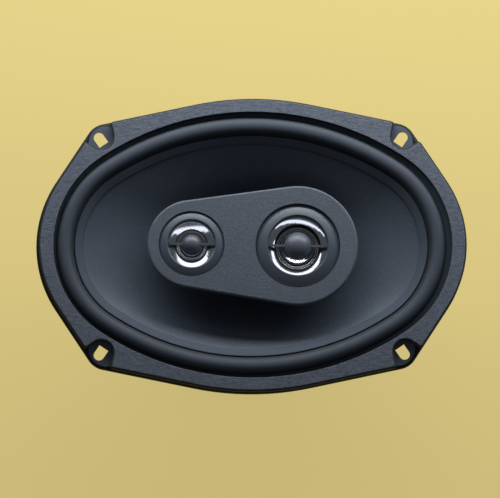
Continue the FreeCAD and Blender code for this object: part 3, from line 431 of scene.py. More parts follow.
def rubber_finish(name, shade, roughness, grain, shine, foot_z=0.0, crest_z=0.0):
    """Moulded rubber, grained on the band; on the roll it is painted darker down the flanks towards the feet, a
    painted shade that leaves the crest lighter.
    """
    f = Finish(name, shade, roughness, Specular_IOR_Level=shine)
    cloud = f.noise(70.0, 4.0)
    fine = f.noise(grain, 3.0, rough=0.65)
    base = f.mix(cloud * 0.6 + fine * 0.4, scaled(shade, 0.8), scaled(shade, 1.2))
    # Painted shade: below crest_z the colour darkens, down to 0.42 of the rubber's colour at foot_z.
    if crest_z > foot_z:
        crest = f.range(f.split(f.place)[2], foot_z, crest_z)
        base = f.mix(crest, scaled(shade, 0.42), base)
    f.set("Base Color", base)
    f.set("Roughness", roughness - 0.05 + cloud * 0.1)
    f.bump(fine, 0.00005, 0.5)
    return f.material


def pod_finish(name, shade, roughness=0.52):
    """Finely sparked plastic."""
    f = Finish(name, shade, roughness, Specular_IOR_Level=0.5)
    spark = f.noise(1100.0, 4.0, rough=0.75)
    speck = f.range(f.cells(1300.0), 0.3, 1.0)
    cloud = f.noise(60.0, 3.0)
    mottled = cloud * 0.4 + speck * 0.3 + spark * 0.3
    f.set("Base Color", f.mix(mottled, scaled(shade, 0.75), scaled(shade, 1.25)))
    f.set("Roughness", roughness - 0.04 + spark * 0.1)
    f.bump(spark + speck * 0.3, 0.00022, 0.7)
    return f.material


def bezel_finish():
    """Satin lacquered plastic."""
    shade = colours().bezel
    f = Finish("bezel_lacquer", shade, 0.36, Specular_IOR_Level=0.55)
    fine = f.noise(2400.0, 2.0)
    cloud = f.noise(120.0, 3.0)
    f.set("Base Color", f.mix(cloud, scaled(shade, 0.92), scaled(shade, 1.08)))
    f.set("Roughness", 0.33 + fine * 0.07)
    f.bump(fine, 0.00002, 0.4)
    return f.material


def bright_finish():
    """Polished bright plating, a little hazed."""
    f = Finish("bright_ring", (0.78, 0.85, 0.97), 0.08, Metallic=1.0)
    haze = f.noise(120.0, 2.0)
    f.set("Roughness", 0.06 + haze * 0.03)
    return f.material


def throat_finish():
    shade = colours().throat
    f = Finish("throat_moulding", shade, 0.42, Specular_IOR_Level=0.5)
    fine = f.noise(1600.0, 2.0)
    f.set("Roughness", 0.38 + fine * 0.08)
    f.bump(fine, 0.00002, 0.4)
    return f.material


def plug_finish():
    """Satin moulded plug."""
    shade = colours().plug
    f = Finish("plug_moulding", shade, 0.42, Specular_IOR_Level=0.5)
    fine = f.noise(2200.0, 2.0)
    f.set("Roughness", 0.38 + fine * 0.1)
    f.bump(fine, 0.00003, 0.5)
    return f.material


def film_finish(name, centre, crests):
    """Thin metallised film, mottled like pressed foil; along the ridges' crests it is rougher and painted
    near-white, a painted highlight.
    """
    shade = colours().film
    f = Finish(name, shade, 0.2, Metallic=1.0)
    x, y, _ = f.split(f.place)
    x, y = x - centre.x, y - centre.y
    from_centre = (x * x + y * y).root()
    ridge_roughness_and_painted_highlight = None
    for crest in crests:
        line = f.range((from_centre - crest).size(), 0.00010, 0.00034, 1.0, 0.0)
        ridge_roughness_and_painted_highlight = line if ridge_roughness_and_painted_highlight is None else ridge_roughness_and_painted_highlight + line
    cloud = f.noise(260.0, 3.0)
    film = f.mix(cloud, scaled(shade, 0.8), scaled(shade, 1.2))
    # Painted highlight: the ridges' crests are mixed towards near-white.
    f.set("Base Color", f.mix(ridge_roughness_and_painted_highlight, film, (0.95, 0.97, 1.0)))
    f.set("Roughness", 0.16 + cloud * 0.06 + ridge_roughness_and_painted_highlight * 0.36)
    return f.material


def zinc_finish(name="zinc_plating", tint=(0.42, 0.40, 0.35)):
    """Zinc-plated steel: dull spangle, fine turning marks and slight tarnish."""
    f = Finish(name, tint, 0.38, Metallic=1.0)
    spangle = f.cells(420.0)
    tarnish = f.range(f.noise(80.0, 5.0, rough=0.65), 0.45, 0.8)
    lit = f.mix(spangle * 0.6, scaled(tint, 0.85), scaled(tint, 1.2))
    f.set("Base Color", f.mix(tarnish * 0.5, lit, scaled(tint, 0.45)))
    f.set("Roughness", 0.3 + tarnish * 0.2)
    f.bump(f.noise(1500.0, 3.0), 0.00003, 0.5)
    return f.material


def ferrite_finish():
    """Ground dark ceramic with grinding marks and small chips."""
    shade = colours().ferrite
    f = Finish("ferrite", shade, 0.55, Specular_IOR_Level=0.6)
    marks = f.noise(1.0, 3.0, stretch=(500.0, 500.0, 4000.0))
    chips = f.range(f.noise(260.0, 4.0, rough=0.7), 0.62, 0.72)
    f.set("Base Color", f.mix(marks * 0.6 + chips * 0.4, scaled(shade, 0.7), scaled(shade, 1.7)))
    f.set("Roughness", 0.5 + chips * 0.25)
    f.bump(marks - chips * 0.8, 0.00008, 0.6)
    return f.material


def boot_finish():
    """Matte black rubber with a dusty bloom."""
    shade = colours().boot
    f = Finish("boot_rubber", shade, 0.62, Specular_IOR_Level=0.4)
    bloom = f.range(f.noise(35.0, 5.0, rough=0.65), 0.4, 0.8)
    fine = f.noise(1300.0, 2.0)
    f.set("Base Color", f.mix(bloom * 0.6, shade, scaled(shade, 2.2)))
    f.set("Roughness", 0.55 + bloom * 0.15)
    f.bump(fine, 0.00006, 0.5)
    return f.material


def cloth_finish():
    """Woven cotton stiffened with resin: plain weave, with the resin pooled between the threads."""
    shade = colours().cloth
    f = Finish("spider_cloth", shade, 0.6, Specular_IOR_Level=0.4)
    x, y, _ = f.split(f.place)
    pitch = 2 * math.pi / 0.0011
    warp = (x * pitch).sin()
    weft = (y * pitch).sin()
    weave = (warp * weft * 0.5 + 0.5).clamped()
    stain = f.noise(90.0, 4.0)
    thread = f.mix(weave, scaled(shade, 0.55), scaled(shade, 1.2))
    f.set("Base Color", f.mix(stain * 0.5, thread, scaled(shade, 0.8)))
    f.set("Roughness", 0.5 + weave * 0.2)
    f.bump(weave, 0.00022, 0.8)
    return f.material


def winding_finish():
    """Enamelled copper wire wound side by side."""
    f = Finish("copper_winding", (0.60, 0.20, 0.07), 0.3, Metallic=1.0)
    z = f.split(f.place)[2]
    turn = ((z * (2 * math.pi / 0.00028)).sin() * 0.5 + 0.5).clamped()
    f.set("Base Color", f.mix(turn, (0.20, 0.055, 0.02), (0.78, 0.30, 0.11)))
    f.bump(turn, 0.00012, 0.9)
    return f.material


def foil_finish():
    f = Finish("former_foil", (0.72, 0.73, 0.74), 0.3, Metallic=1.0)
    f.set("Roughness", 0.25 + f.noise(300.0, 3.0) * 0.15)
    return f.material


def board_finish():
    """Brown phenolic board with paper fibres."""
    shade = colours().board
    f = Finish("phenolic_board", shade, 0.4, Specular_IOR_Level=0.5)
    fibre = f.noise(1.0, 4.0, stretch=(260.0, 1500.0, 700.0))
    f.set("Base Color", f.mix(fibre, scaled(shade, 0.6), scaled(shade, 1.35)))
    f.bump(fibre, 0.00004, 0.5)
    return f.material


def braid_finish():
    """Braided tinsel wire: two sets of crossing strands that follow the lead's own UV map."""
    f = Finish("tinsel_braid", (0.55, 0.33, 0.17), 0.34, Metallic=1.0)
    across, along, _ = f.split(f.node("ShaderNodeTexCoord", output="UV"))
    turn = across * (2 * math.pi * 6)
    run = along * (2 * math.pi / 0.0011)
    left = (turn + run).sin()
    right = (turn - run).sin()
    strand = (left * right * 0.5 + 0.5).clamped()
    f.set("Base Color", f.mix(strand, (0.16, 0.08, 0.035), (0.74, 0.47, 0.27)))
    f.bump(strand, 0.00025, 0.9)
    return f.material


def sleeve_finish(name, shade, roughness=0.34):
    """Shrunk plastic sleeve or wire insulation."""
    f = Finish(name, shade, roughness, Specular_IOR_Level=0.5)
    cloud = f.noise(180.0, 3.0)
    f.set("Base Color", f.mix(cloud, scaled(shade, 0.8), scaled(shade, 1.25)))
    f.set("Roughness", roughness - 0.05 + cloud * 0.12)
    return f.material


def solder_finish():
    f = Finish("solder", (0.60, 0.60, 0.62), 0.24, Metallic=1.0)
    f.set("Roughness", 0.16 + f.noise(700.0, 3.0) * 0.22)
    return f.material


def glue_finish():
    f = Finish("black_glue", (0.012, 0.012, 0.013), 0.2, Specular_IOR_Level=0.55)
    f.bump(f.noise(500.0, 3.0), 0.0003, 0.5)
    return f.material


def floor_finish():
    """Plain floor. What the camera sees of it is partly its own colour, so that it looks even."""
    shade = colours().floor
    f = Finish("plain_floor", shade, 0.85, Specular_IOR_Level=0.2)
    glow = f.node("ShaderNodeEmission", {"Color": (*shade, 1.0), "Strength": 1.0})
    ray = f.node("ShaderNodeLightPath", output="Is Camera Ray")
    shiny = f.node("ShaderNodeLightPath", output="Is Glossy Ray")
    lit = Link(f.tree, f.shader.outputs[0])
    both = f.node("ShaderNodeMixShader", {0: (ray + shiny).clamped() * 0.78, 1: lit, 2: glow})
    f.tree.links.new(both.socket, f.tree.nodes["Material Output"].inputs["Surface"])
    return f.material


# ---------------------------------------------------------------- meshes

def unit(angle):
    return Vector((math.cos(angle), math.sin(angle), 0.0))


def circle_rails(count):
    """Directions round a circle, each as (centre, direction, extra radius)."""
    return [(Vector(), unit(2 * math.pi * i / count), 0.0) for i in range(count)]


def oval_rails():
    """Directions round the four tangent arcs of the frame's oval, evenly spaced along it."""
    oval = sizes("oval")
    gap = math.hypot(oval.end_centre, oval.side_centre)
    join = math.atan2(oval.side_centre, oval.end_centre)
    arcs = [(Vector((oval.end_centre, 0, 0)), -join, join, 0.0),
            (Vector((0, -oval.side_centre, 0)), join, math.pi - join, gap),
            (Vector((-oval.end_centre, 0, 0)), math.pi - join, math.pi + join, 0.0),
            (Vector((0, oval.side_centre, 0)), math.pi + join, 2 * math.pi - join, gap)]
    middle_r = sizes("surround").roll_inner
    spans = [(stop - start) * (middle_r + extra) for _, start, stop, extra in arcs]
    rails = []
    for (centre, start, stop, extra), span in zip(arcs, spans):
        count = round(oval.steps * span / sum(spans))
        for i in range(count):
            rails.append((centre, unit(start + (stop - start) * i / count), extra))
    return rails


def arc_points(centre, radius, start, stop, count):
    """Points (r, z) on an arc, both ends included."""
    turns = [start + (stop - start) * i / count for i in range(count + 1)]
    return [(centre[0] + radius * math.cos(a), centre[1] + radius * math.sin(a)) for a in turns]


def three_point_circle(a, b, c):
    """Centre and radius of the circle through three points (r, z)."""
    d = 2 * (a[0] * (b[1] - c[1]) + b[0] * (c[1] - a[1]) + c[0] * (a[1] - b[1]))
    aa, bb, cc = (p[0] ** 2 + p[1] ** 2 for p in (a, b, c))
    x = (aa * (b[1] - c[1]) + bb * (c[1] - a[1]) + cc * (a[1] - b[1])) / d
    y = (aa * (c[0] - b[0]) + bb * (a[0] - c[0]) + cc * (b[0] - a[0])) / d
    return (x, y), math.hypot(a[0] - x, a[1] - y)


def add_object(name, mesh):
    piece = bpy.data.objects.new(name, mesh)
    bpy.context.scene.collection.objects.link(piece)
    return piece


def smooth(mesh, angle=RIB_ANGLE):
    mesh.shade_smooth()
    mesh.set_sharp_from_angle(angle=angle)


def swept(name, rails, loop, materials, slots=None, scales=None, centre=Vector()):
    """A closed loop of points (r, z) carried round the rails. slots gives each step of the loop its material,
    and scales shrinks the rails' centres for each point of the loop."""
    bm = bmesh.new()
    rows = []
    for middle, direction, extra in rails:
        row = []
        for k, (r, z) in enumerate(loop):
            share = scales[k] if scales else 1.0
            spot = centre + middle * share + direction * (r + extra * share)
            row.append(bm.verts.new((spot.x, spot.y, z)))
        rows.append(row)
    count = len(loop)
    for i, row in enumerate(rows):
        after = rows[(i + 1) % len(rows)]
        for k in range(count):
            n = (k + 1) % count
            face = bm.faces.new((row[k], after[k], after[n], row[n]))
            face.material_index = slots[k] if slots else 0
    bmesh.ops.remove_doubles(bm, verts=bm.verts, dist=1e-7)
    bmesh.ops.recalc_face_normals(bm, faces=bm.faces)
    mesh = bpy.data.meshes.new(name)
    bm.to_mesh(mesh)
    bm.free()
    for material in materials:
        mesh.materials.append(material)
    smooth(mesh)
    return add_object(name, mesh)


def path_points(route, per_point=8):
    """Points along the smooth NURBS line that has the route's points as its control points."""
    curve = bpy.data.curves.new("route", "CURVE")
    curve.dimensions = "3D"
    spline = curve.splines.new("NURBS")
    spline.points.add(len(route) - 1)
    for point, place in zip(spline.points, route):
        point.co = (*place, 1.0)
    spline.order_u = 3
    spline.use_endpoint_u = True
    spline.resolution_u = per_point
    holder = add_object("route", curve)
    bpy.context.view_layer.update()
    line = bpy.data.meshes.new_from_object(holder.evaluated_get(bpy.context.evaluated_depsgraph_get()))
    points = [v.co.copy() for v in line.vertices]
    bpy.data.objects.remove(holder)
    bpy.data.meshes.remove(line)
    bpy.data.curves.remove(curve)
    return points


def tube(name, route, radius, material, sides=14):
    """A round lead along the route, with closed ends and a UV map: across once round it, along in metres."""
    points = path_points(route)
    bm = bmesh.new()
    layer = bm.loops.layers.uv.new("UVMap")
    side = Vector((1, 0, 0))
    rows = []
    gone = [0.0]
    for i, here in enumerate(points):
        ahead = (points[min(i + 1, len(points) - 1)] - points[max(i - 1, 0)]).normalized()
        side = (side - ahead * side.dot(ahead)).normalized()
        up = ahead.cross(side)
        turns = [2 * math.pi * k / sides for k in range(sides)]
        rows.append([bm.verts.new(here + (side * math.cos(a) + up * math.sin(a)) * radius) for a in turns])
        if i:
            gone.append(gone[-1] + (here - points[i - 1]).length)
    for i in range(len(rows) - 1):
        for k in range(sides):
            n = (k + 1) % sides
            face = bm.faces.new((rows[i][k], rows[i][n], rows[i + 1][n], rows[i + 1][k]))
            spots = ((k, i), (k + 1, i), (k + 1, i + 1), (k, i + 1))
            for loop, (across, row) in zip(face.loops, spots):
                loop[layer].uv = (across / sides, gone[row])
    bm.faces.new(rows[0])
    bm.faces.new(rows[-1])
    bmesh.ops.recalc_face_normals(bm, faces=bm.faces)
    mesh = bpy.data.meshes.new(name)
    bm.to_mesh(mesh)
    bm.free()
    mesh.materials.append(material)
    smooth(mesh)
    return add_object(name, mesh)


# ---------------------------------------------------------------- geometry nodes

def geometry_graph(name, inputs):
    """A geometry tree with one geometry input and output, and the named number inputs."""
    tree = bpy.data.node_groups.new(name, "GeometryNodeTree")
    tree.interface.new_socket("Geometry", in_out="INPUT", socket_type="NodeSocketGeometry")
    for label, default in inputs.items():
        kind = "NodeSocketInt" if isinstance(default, int) else "NodeSocketFloat"
        tree.interface.new_socket(label, in_out="INPUT", socket_type=kind).default_value = default
    tree.interface.new_socket("Material", in_out="INPUT", socket_type="NodeSocketMaterial")
    tree.interface.new_socket("Geometry", in_out="OUTPUT", socket_type="NodeSocketGeometry")
    graph = Graph(tree)
    start = tree.nodes.new("NodeGroupInput")
    given = {out.name: Link(tree, out) for out in start.outputs if out.name}
    return graph, given


def close_graph(graph, given, geometry):
    """Ends the tree in Realize Instances and Set Material."""
    real = graph.node("GeometryNodeRealizeInstances", {"Geometry": geometry})
    done = graph.node("GeometryNodeSetMaterial", {"Geometry": real, "Material": given["Material"]})
    end = graph.tree.nodes.new("NodeGroupOutput")
    graph.tree.links.new(done.socket, end.inputs[0])


def made_by(tree, name, base, values, material, solid=0.0):
    """The tree's result on the base mesh as a plain mesh piece, with an optional sheet thickness."""
    piece = add_object(name, base)
    modifier = piece.modifiers.new("tree", "NODES")
    modifier.node_group = tree
    names = {item.name: item.identifier for item in tree.interface.items_tree if item.in_out == "INPUT"}
    for label, value in values.items():
        modifier[names[label]] = value
    modifier[names["Material"]] = material
    if solid:
        thick = piece.modifiers.new("sheet", "SOLIDIFY")
        thick.thickness = solid
        thick.offset = 0.0
    bpy.context.view_layer.update()
    result = bpy.data.meshes.new_from_object(piece.evaluated_get(bpy.context.evaluated_depsgraph_get()))
    piece.modifiers.clear()
    piece.data = result
    result.name = name
    smooth(result)
    return piece


def points_mesh(name, places):
    mesh = bpy.data.meshes.new(name)
    mesh.from_pydata(places, [], [])
    return mesh


def spider_tree():
    """One sector of the corrugated disc: a grid bent round the axis and waved along its radius."""
    graph, given = geometry_graph("spider_sector", {
        "Start": 0.0, "Sweep": 0.5, "Inner": 0.0163, "First": 0.0186, "Last": 0.0368, "Outer": 0.0465,
        "Waves": 9.0, "Height": 0.00071, "Level": 0.0})
    grid = graph.node("GeometryNodeMeshGrid", {
        "Size X": 1.0, "Size Y": 1.0, "Vertices X": 25, "Vertices Y": 260})
    x, y, _ = graph.split(graph.node("GeometryNodeInputPosition"))
    angle = given["Start"] + (x + 0.5) * given["Sweep"]
    radius = given["Inner"] + (y + 0.5) * (given["Outer"] - given["Inner"])
    share = ((radius - given["First"]) / (given["Last"] - given["First"])).clamped()
    z = given["Level"] + (share * given["Waves"] * math.pi).sin() * given["Height"]
    place = graph.node("ShaderNodeCombineXYZ", {"X": radius * angle.cos(), "Y": radius * angle.sin(), "Z": z})
    moved = graph.node("GeometryNodeSetPosition", {"Geometry": grid, "Position": place})
    close_graph(graph, given, moved)
    return graph.tree


def rivet_tree():
    """A low domed head on every point."""
    graph, given = geometry_graph("rivet_heads", {"Radius": 0.003, "Height": 0.001})
    ball = graph.node("GeometryNodeMeshUVSphere", {"Segments": 40, "Rings": 20, "Radius": 1.0})
    z = graph.split(graph.node("GeometryNodeInputPosition"))[2]
    low = graph.node("FunctionNodeCompare", {"A": z, "B": -0.02}, operation="LESS_THAN")
    dome = graph.node("GeometryNodeDeleteGeometry", {"Geometry": ball, "Selection": low})
    size = graph.node("ShaderNodeCombineXYZ", {
        "X": given["Radius"], "Y": given["Radius"], "Z": given["Height"]})
    heads = graph.node("GeometryNodeInstanceOnPoints", {
        "Points": given["Geometry"], "Instance": dome, "Scale": size})
    close_graph(graph, given, heads)
    return graph.tree


def screw_tree():
    """A pan-head screw with a cross recess on every point, its head downwards and its shank upwards."""
    graph, given = geometry_graph("pan_screws", {
        "Head": 0.0024, "Pan": 0.0018, "Shank": 0.00115, "Reach": 0.007})
    ball = graph.node("GeometryNodeMeshUVSphere", {"Segments": 32, "Rings": 16, "Radius": 1.0})
    z = graph.split(graph.node("GeometryNodeInputPosition"))[2]
    high = graph.node("FunctionNodeCompare", {"A": z, "B": 0.02}, operation="GREATER_THAN")
    bowl = graph.node("GeometryNodeDeleteGeometry", {"Geometry": ball, "Selection": high})
    size = graph.node("ShaderNodeCombineXYZ", {"X": given["Head"], "Y": given["Head"], "Z": given["Pan"]})
    pan = graph.node("GeometryNodeTransform", {"Geometry": bowl, "Scale": size})
    lid = graph.node("GeometryNodeMeshCircle", {"Vertices": 32, "Radius": given["Head"]}, fill_type="NGON")
    head = graph.node("GeometryNodeMergeByDistance", {
        "Geometry": graph.join(pan, lid), "Distance": 0.00002})
    bars = []
    for turn in (0.0, math.pi / 2):
        bar = graph.node("GeometryNodeMeshCube", {"Size": (0.0032, 0.0007, 0.0016)})
        bars.append(graph.node("GeometryNodeTransform", {
            "Geometry": bar, "Translation": (0.0, 0.0, -0.0019), "Rotation": (0.0, 0.0, turn)}))
    cut = graph.boolean("DIFFERENCE", head, bars)
    rod = graph.node("GeometryNodeMeshCylinder", {
        "Vertices": 20, "Radius": given["Shank"], "Depth": given["Reach"]})
    lift = graph.node("ShaderNodeCombineXYZ", {"Z": given["Reach"] * 0.5})
    shank = graph.node("GeometryNodeTransform", {"Geometry": rod, "Translation": lift})
    screws = graph.node("GeometryNodeInstanceOnPoints", {
        "Points": given["Geometry"], "Instance": graph.join(cut, shank)})
    close_graph(graph, given, screws)
    return graph.tree


# ---------------------------------------------------------------- pieces

def dress(node, material):
    """Gives a CAD node its finish."""
    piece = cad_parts[node]
    piece.data.materials.clear()
    piece.data.materials.append(material)
    for polygon in piece.data.polygons:
        polygon.material_index = 0


def cone_piece():
    """The cone: an oval rim that runs down to a round neck, with its glued collar."""
    cone = sizes("cone")
    front = []
    for i in range(61):
        t = i / 60
        rise = t + cone.bow * t * (1 - t)
        front.append((cone.neck_r + (cone.bend_r - cone.neck_r) * t,
                      cone.neck_z + (cone.bend_z - cone.neck_z) * rise, t))
    front.append((cone.rim_r, cone.rim_z, 1.0))
    back = [(r, z - cone.sheet, t) for r, z, t in reversed(front)]
    outer = cone.neck_r + 0.0006
    inner = cone.neck_r - 0.0003
    foot = cone.neck_z - cone.collar
    back[-1] = (outer, back[-1][1], 0.0)
    collar = [(outer, foot, 0.0), (inner, foot, 0.0), (inner, cone.neck_z, 0.0)]
    loop = front + back + collar
    piece = swept("cone_moulding", oval_rails(), [(r, z) for r, z, _ in loop], [cone_finish()],
                  scales=[t for _, _, t in loop])
    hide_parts("cone")
    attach(piece, CONE)


def band_z(r):
    """Front of the cone's rim land, where the surround's band is glued."""
    cone = sizes("cone")
    slope = (cone.rim_z - cone.bend_z) / (cone.rim_r - cone.bend_r)
    return cone.bend_z + (r - cone.bend_r) * slope


def roll_circles():
    """The circles of the roll's front and back."""
    s = sizes("surround")
    middle = (s.roll_outer + s.roll_inner) / 2
    foot_z = band_z(s.roll_inner) + s.band
    outer_foot, inner_foot = (s.roll_outer, s.lip_high), (s.roll_inner, foot_z)
    centre, radius = three_point_circle(outer_foot, (middle, s.roll_top), inner_foot)
    return centre, radius, radius - s.rubber


def surround_pieces():
    """The rubber surround in two halves that meet along the top of the roll."""
    s = sizes("surround")
    rails = oval_rails()
    # The roll's flanks get painted shade from foot_z up to the crest.
    roll = rubber_finish("surround_rubber", colours().rubber, 0.64, 1500.0, 0.30,
                         foot_z=s.roll_top - 0.0019, crest_z=s.roll_top)
    band = rubber_finish("surround_band", colours().band, 0.68, 1900.0, 0.12)
    # Painted shade: the crease at the roll's foot gets rubber at a quarter of its colour.
    painted_crease_shade = rubber_finish("surround_crease", scaled(colours().rubber, 0.25), 0.7, 1900.0, 0.3)
    centre, front_r, back_r = roll_circles()
    top = math.pi / 2
    outer_foot = math.atan2(s.lip_high - centre[1], s.roll_outer - centre[0])
    back_foot = math.asin((s.lip_low - centre[1]) / back_r)
    lip = [(s.lip_r, s.lip_low), (s.lip_r, s.lip_high), (s.roll_outer + 0.0003, s.lip_high)]
    front = arc_points(centre, front_r, outer_foot + 0.05, top, 36)
    back = arc_points(centre, back_r, top, back_foot, 24)
    outer = swept("surround_outer_half", rails, lip + front + back, [roll, band],
                  slots=[1] * len(lip) + [0] * len(front + back))
    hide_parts("surround")
    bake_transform(outer)

    foot_z = band_z(s.roll_inner) + s.band
    inner_foot = math.atan2(foot_z - centre[1], s.roll_inner - centre[0])
    inner_foot = inner_foot if inner_foot > 0 else inner_foot + 2 * math.pi
    cone = sizes("cone")
    back_end = math.pi - math.asin((band_z(s.roll_inner) + 0.0002 - centre[1]) / back_r)
    front = arc_points(centre, front_r, top, inner_foot - 0.05, 36)
    joint_front = band_z(s.joint_r) + s.band
    edge = [(s.roll_inner + 0.00010, foot_z - 0.00035), (s.roll_inner - 0.00025, foot_z - 0.00050),
            (s.roll_inner - 0.00055, foot_z - 0.00035), (s.roll_inner - 0.0007, foot_z - 0.00005),
            (s.roll_inner - 0.0010, foot_z), (s.joint_r + 0.0007, joint_front + 0.00085),
            (s.joint_r + 0.00025, joint_front + 0.00035), (s.joint_r, joint_front - 0.0003),
            (s.joint_r, band_z(s.joint_r)), (cone.rim_r, cone.rim_z)]
    back = arc_points(centre, back_r, back_end, top, 24)
    loop = front + edge + back
    # Slot 2 is the crease at the foot of the roll, coloured a quarter as bright as the rubber as a painted shade,
    # and slot 1 the band beside it.
    slots = [0] * len(loop)
    for k in range(len(front) - 2, len(front) + 3):
        slots[k] = 2
    for k in range(len(front) + 3, len(front) + 8):
        slots[k] = 1
    inner = swept("surround_inner_half", rails, loop, [roll, band, painted_crease_shade], slots=slots)
    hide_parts("surround")
    2 * s.roll_top - band_z(s.roll_inner) - 0.0008
    band_z(s.roll_inner) + 0.0008
    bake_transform(inner)


def spider_pieces():
    """The corrugated disc in sectors that meet edge to edge."""
    s = sizes("spider")
    cloth = cloth_finish()
    tree = spider_tree()
    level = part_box("spider")[0].z + s.height + s.cloth / 2
    sweep = 2 * math.pi / s.sectors
    for i in range(s.sectors):
        values = {"Start": i * sweep, "Sweep": sweep, "Inner": s.inner_r, "First": s.first_r,
                  "Last": s.last_r, "Outer": s.outer_r, "Waves": float(s.waves), "Height": s.height,
                  "Level": level}
        piece = made_by(tree, "spider_sector_%02d" % (i + 1), points_mesh("spider_base", []), values, cloth,
                        solid=s.cloth)
        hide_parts("spider")
        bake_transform(piece)


TINSEL_ROUTE = ((8.0, -62.6, -37.7), (8.0, -62.6, -33.4), (8.2, -58.2, -29.4), (8.6, -51.0, -28.0),
                (9.2, -42.6, -29.6), (9.6, -34.6, -29.2), (9.4, -27.4, -29.6))
POD_LEAD_ROUTE = ((8.0, -57.8, -42.8), (7.9, -57.4, -47.2), (5.4, -54.0, -51.4), (2.2, -49.9, -55.4),
                  (0.85, -46.6, -61.0), (0.85, -46.5, -69.2), (0.85, -46.5, -78.7), (0.85, -34.0, -78.6),
                  (0.85, -22.0, -78.7), (0.85, -11.5, -78.6), (0.85, 0.0, -78.7), (0.85, 0.1, -66.0),
                  (0.85, 0.0, -51.0), (0.85, 0.1, -36.0), (0.85, 0.0, -21.0), (0.85, 0.1, -9.0))


def sided(route, side):
    return [Vector((x * side, y, z)) / 1000 for x, y, z in route]


def tinsel_leads():
    """Braided leads between the terminals and the cone."""
    braid = braid_finish()
    for label, side in (("negative", 1), ("positive", -1)):
        route = sided(TINSEL_ROUTE, side)
        lead = tube("tinsel_braid_" + label, route, 0.00072, braid)
        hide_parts("tinsel_lead_" + label)
        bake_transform(lead)


def pod_lead_piece():
    """Insulated leads from the terminals, under the boot and up the post."""
    red = sleeve_finish("red_insulation", (0.22, 0.012, 0.010), 0.42)
    black = sleeve_finish("black_insulation", (0.012, 0.012, 0.013), 0.42)
    for label, side, shade in (("negative", 1, black), ("positive", -1, red)):
        lead = tube("pod_lead_" + label, sided(POD_LEAD_ROUTE, side), 0.0007, shade)
        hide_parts("pod_leads")
        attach(lead, BASKET)


def basket_pieces():
    """The painted basket and the rivets that hold it to the top plate."""
    dress("basket", paint_finish())
    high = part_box("basket_rivets")[1]
    head_r = 0.0032
    head_high = 0.0013
    reach = high.x - head_r
    floor_z = high.z - head_high
    sites = [(reach * sx, reach * sy, floor_z) for sx in (1, -1) for sy in (1, -1)]
    heads = made_by(rivet_tree(), "basket_rivet_heads", points_mesh("rivet_sites", sites),
                    {"Radius": head_r, "Height": head_high}, zinc_finish("rivet_plating", (0.5, 0.48, 0.44)))
    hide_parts("basket_rivets")
    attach(heads, BASKET)


def motor_pieces():
    zinc = zinc_finish()
    dress("top_plate", zinc)
    dress("pole_yoke", zinc)
    dress("ferrite_magnet", ferrite_finish())
    dress("magnet_boot", boot_finish())
    dress("voice_coil", winding_finish())
    dress("coil_former", foil_finish())


def terminal_pieces():
    tin = zinc_finish("tinned_brass", (0.68, 0.60, 0.42))
    dress("terminal_board", board_finish())
    dress("terminal_blade_positive", tin)
    dress("terminal_blade_negative", tin)
    dress("terminal_rivets", zinc_finish("terminal_rivet_plating", (0.6, 0.57, 0.5)))
    dress("lead_solder", solder_finish())
    dress("lead_joints", glue_finish())


def pod_pieces():
    """The pod's plate and shell with the screws between them, and the post that carries it."""
    dress("pod_plate", pod_finish("pod_front_moulding", colours().pod))
    dress("pod_shell", pod_finish("pod_back_moulding", scaled(colours().pod, 0.5)))
    zinc = zinc_finish("post_plating", (0.46, 0.44, 0.40))
    dress("tweeter_post", zinc)
    dress("post_nut", zinc)
    for name in ("midrange_capacitor", "tweeter_capacitor"):
        dress(name, sleeve_finish(name + "_sleeve", colours().sleeve))
    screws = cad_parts["pod_screws"]
    islands = screw_places(screws)
    seat_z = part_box("pod_screws")[0].z + 0.0018
    sites = [(x, y, seat_z) for x, y in islands]
    piece = made_by(screw_tree(), "pod_pan_screws", points_mesh("screw_sites", sites),
                    {"Head": 0.0024, "Pan": 0.0018, "Shank": 0.00115, "Reach": 0.007},
                    zinc_finish("screw_plating", (0.3, 0.3, 0.3)))
    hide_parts("pod_screws")
    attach(piece, BASKET)


def screw_places(screws):
    """Middle of each separate screw of the CAD node, from its loose parts."""
    bm = bmesh.new()
    bm.from_mesh(screws.data)
    bmesh.ops.remove_doubles(bm, verts=bm.verts, dist=1e-6)
    places = []
    left = set(bm.verts)
    while left:
        stack = [left.pop()]
        island = []
        while stack:
            vertex = stack.pop()
            island.append(vertex.co.copy())
            for edge in vertex.link_edges:
                other = edge.other_vert(vertex)
                if other in left:
                    left.remove(other)
                    stack.append(other)
        xs = [co.x for co in island]
        ys = [co.y for co in island]
        places.append(((min(xs) + max(xs)) / 2, (min(ys) + max(ys)) / 2))
    bm.free()
    return sorted(places)


def small_driver_pieces(name):
    """Bezel, bright ring, throat, diaphragm and phase plug of one small driver."""
    d = sizes(name)
    bezel_low, bezel_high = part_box(name + "_bezel")
    centre = (bezel_low + bezel_high) / 2
    centre.z = 0
    outer_r = (bezel_high.x - bezel_low.x) / 2
    rails = circle_rails(160)
    bezel_piece(name, d, rails, centre, outer_r)
    ring_piece(name, d, rails, centre)
    dress(name + "_housing", throat_finish())
    diaphragm_piece(name, d, rails, centre)
    dress(name + "_phase_plug", plug_finish())
    zinc = zinc_finish(name + "_cup_plating", (0.45, 0.44, 0.42))
    for part in ("cup", "pole", "magnet"):
        dress("%s_%s" % (name, part), zinc)
    dress(name + "_coil", winding_finish())


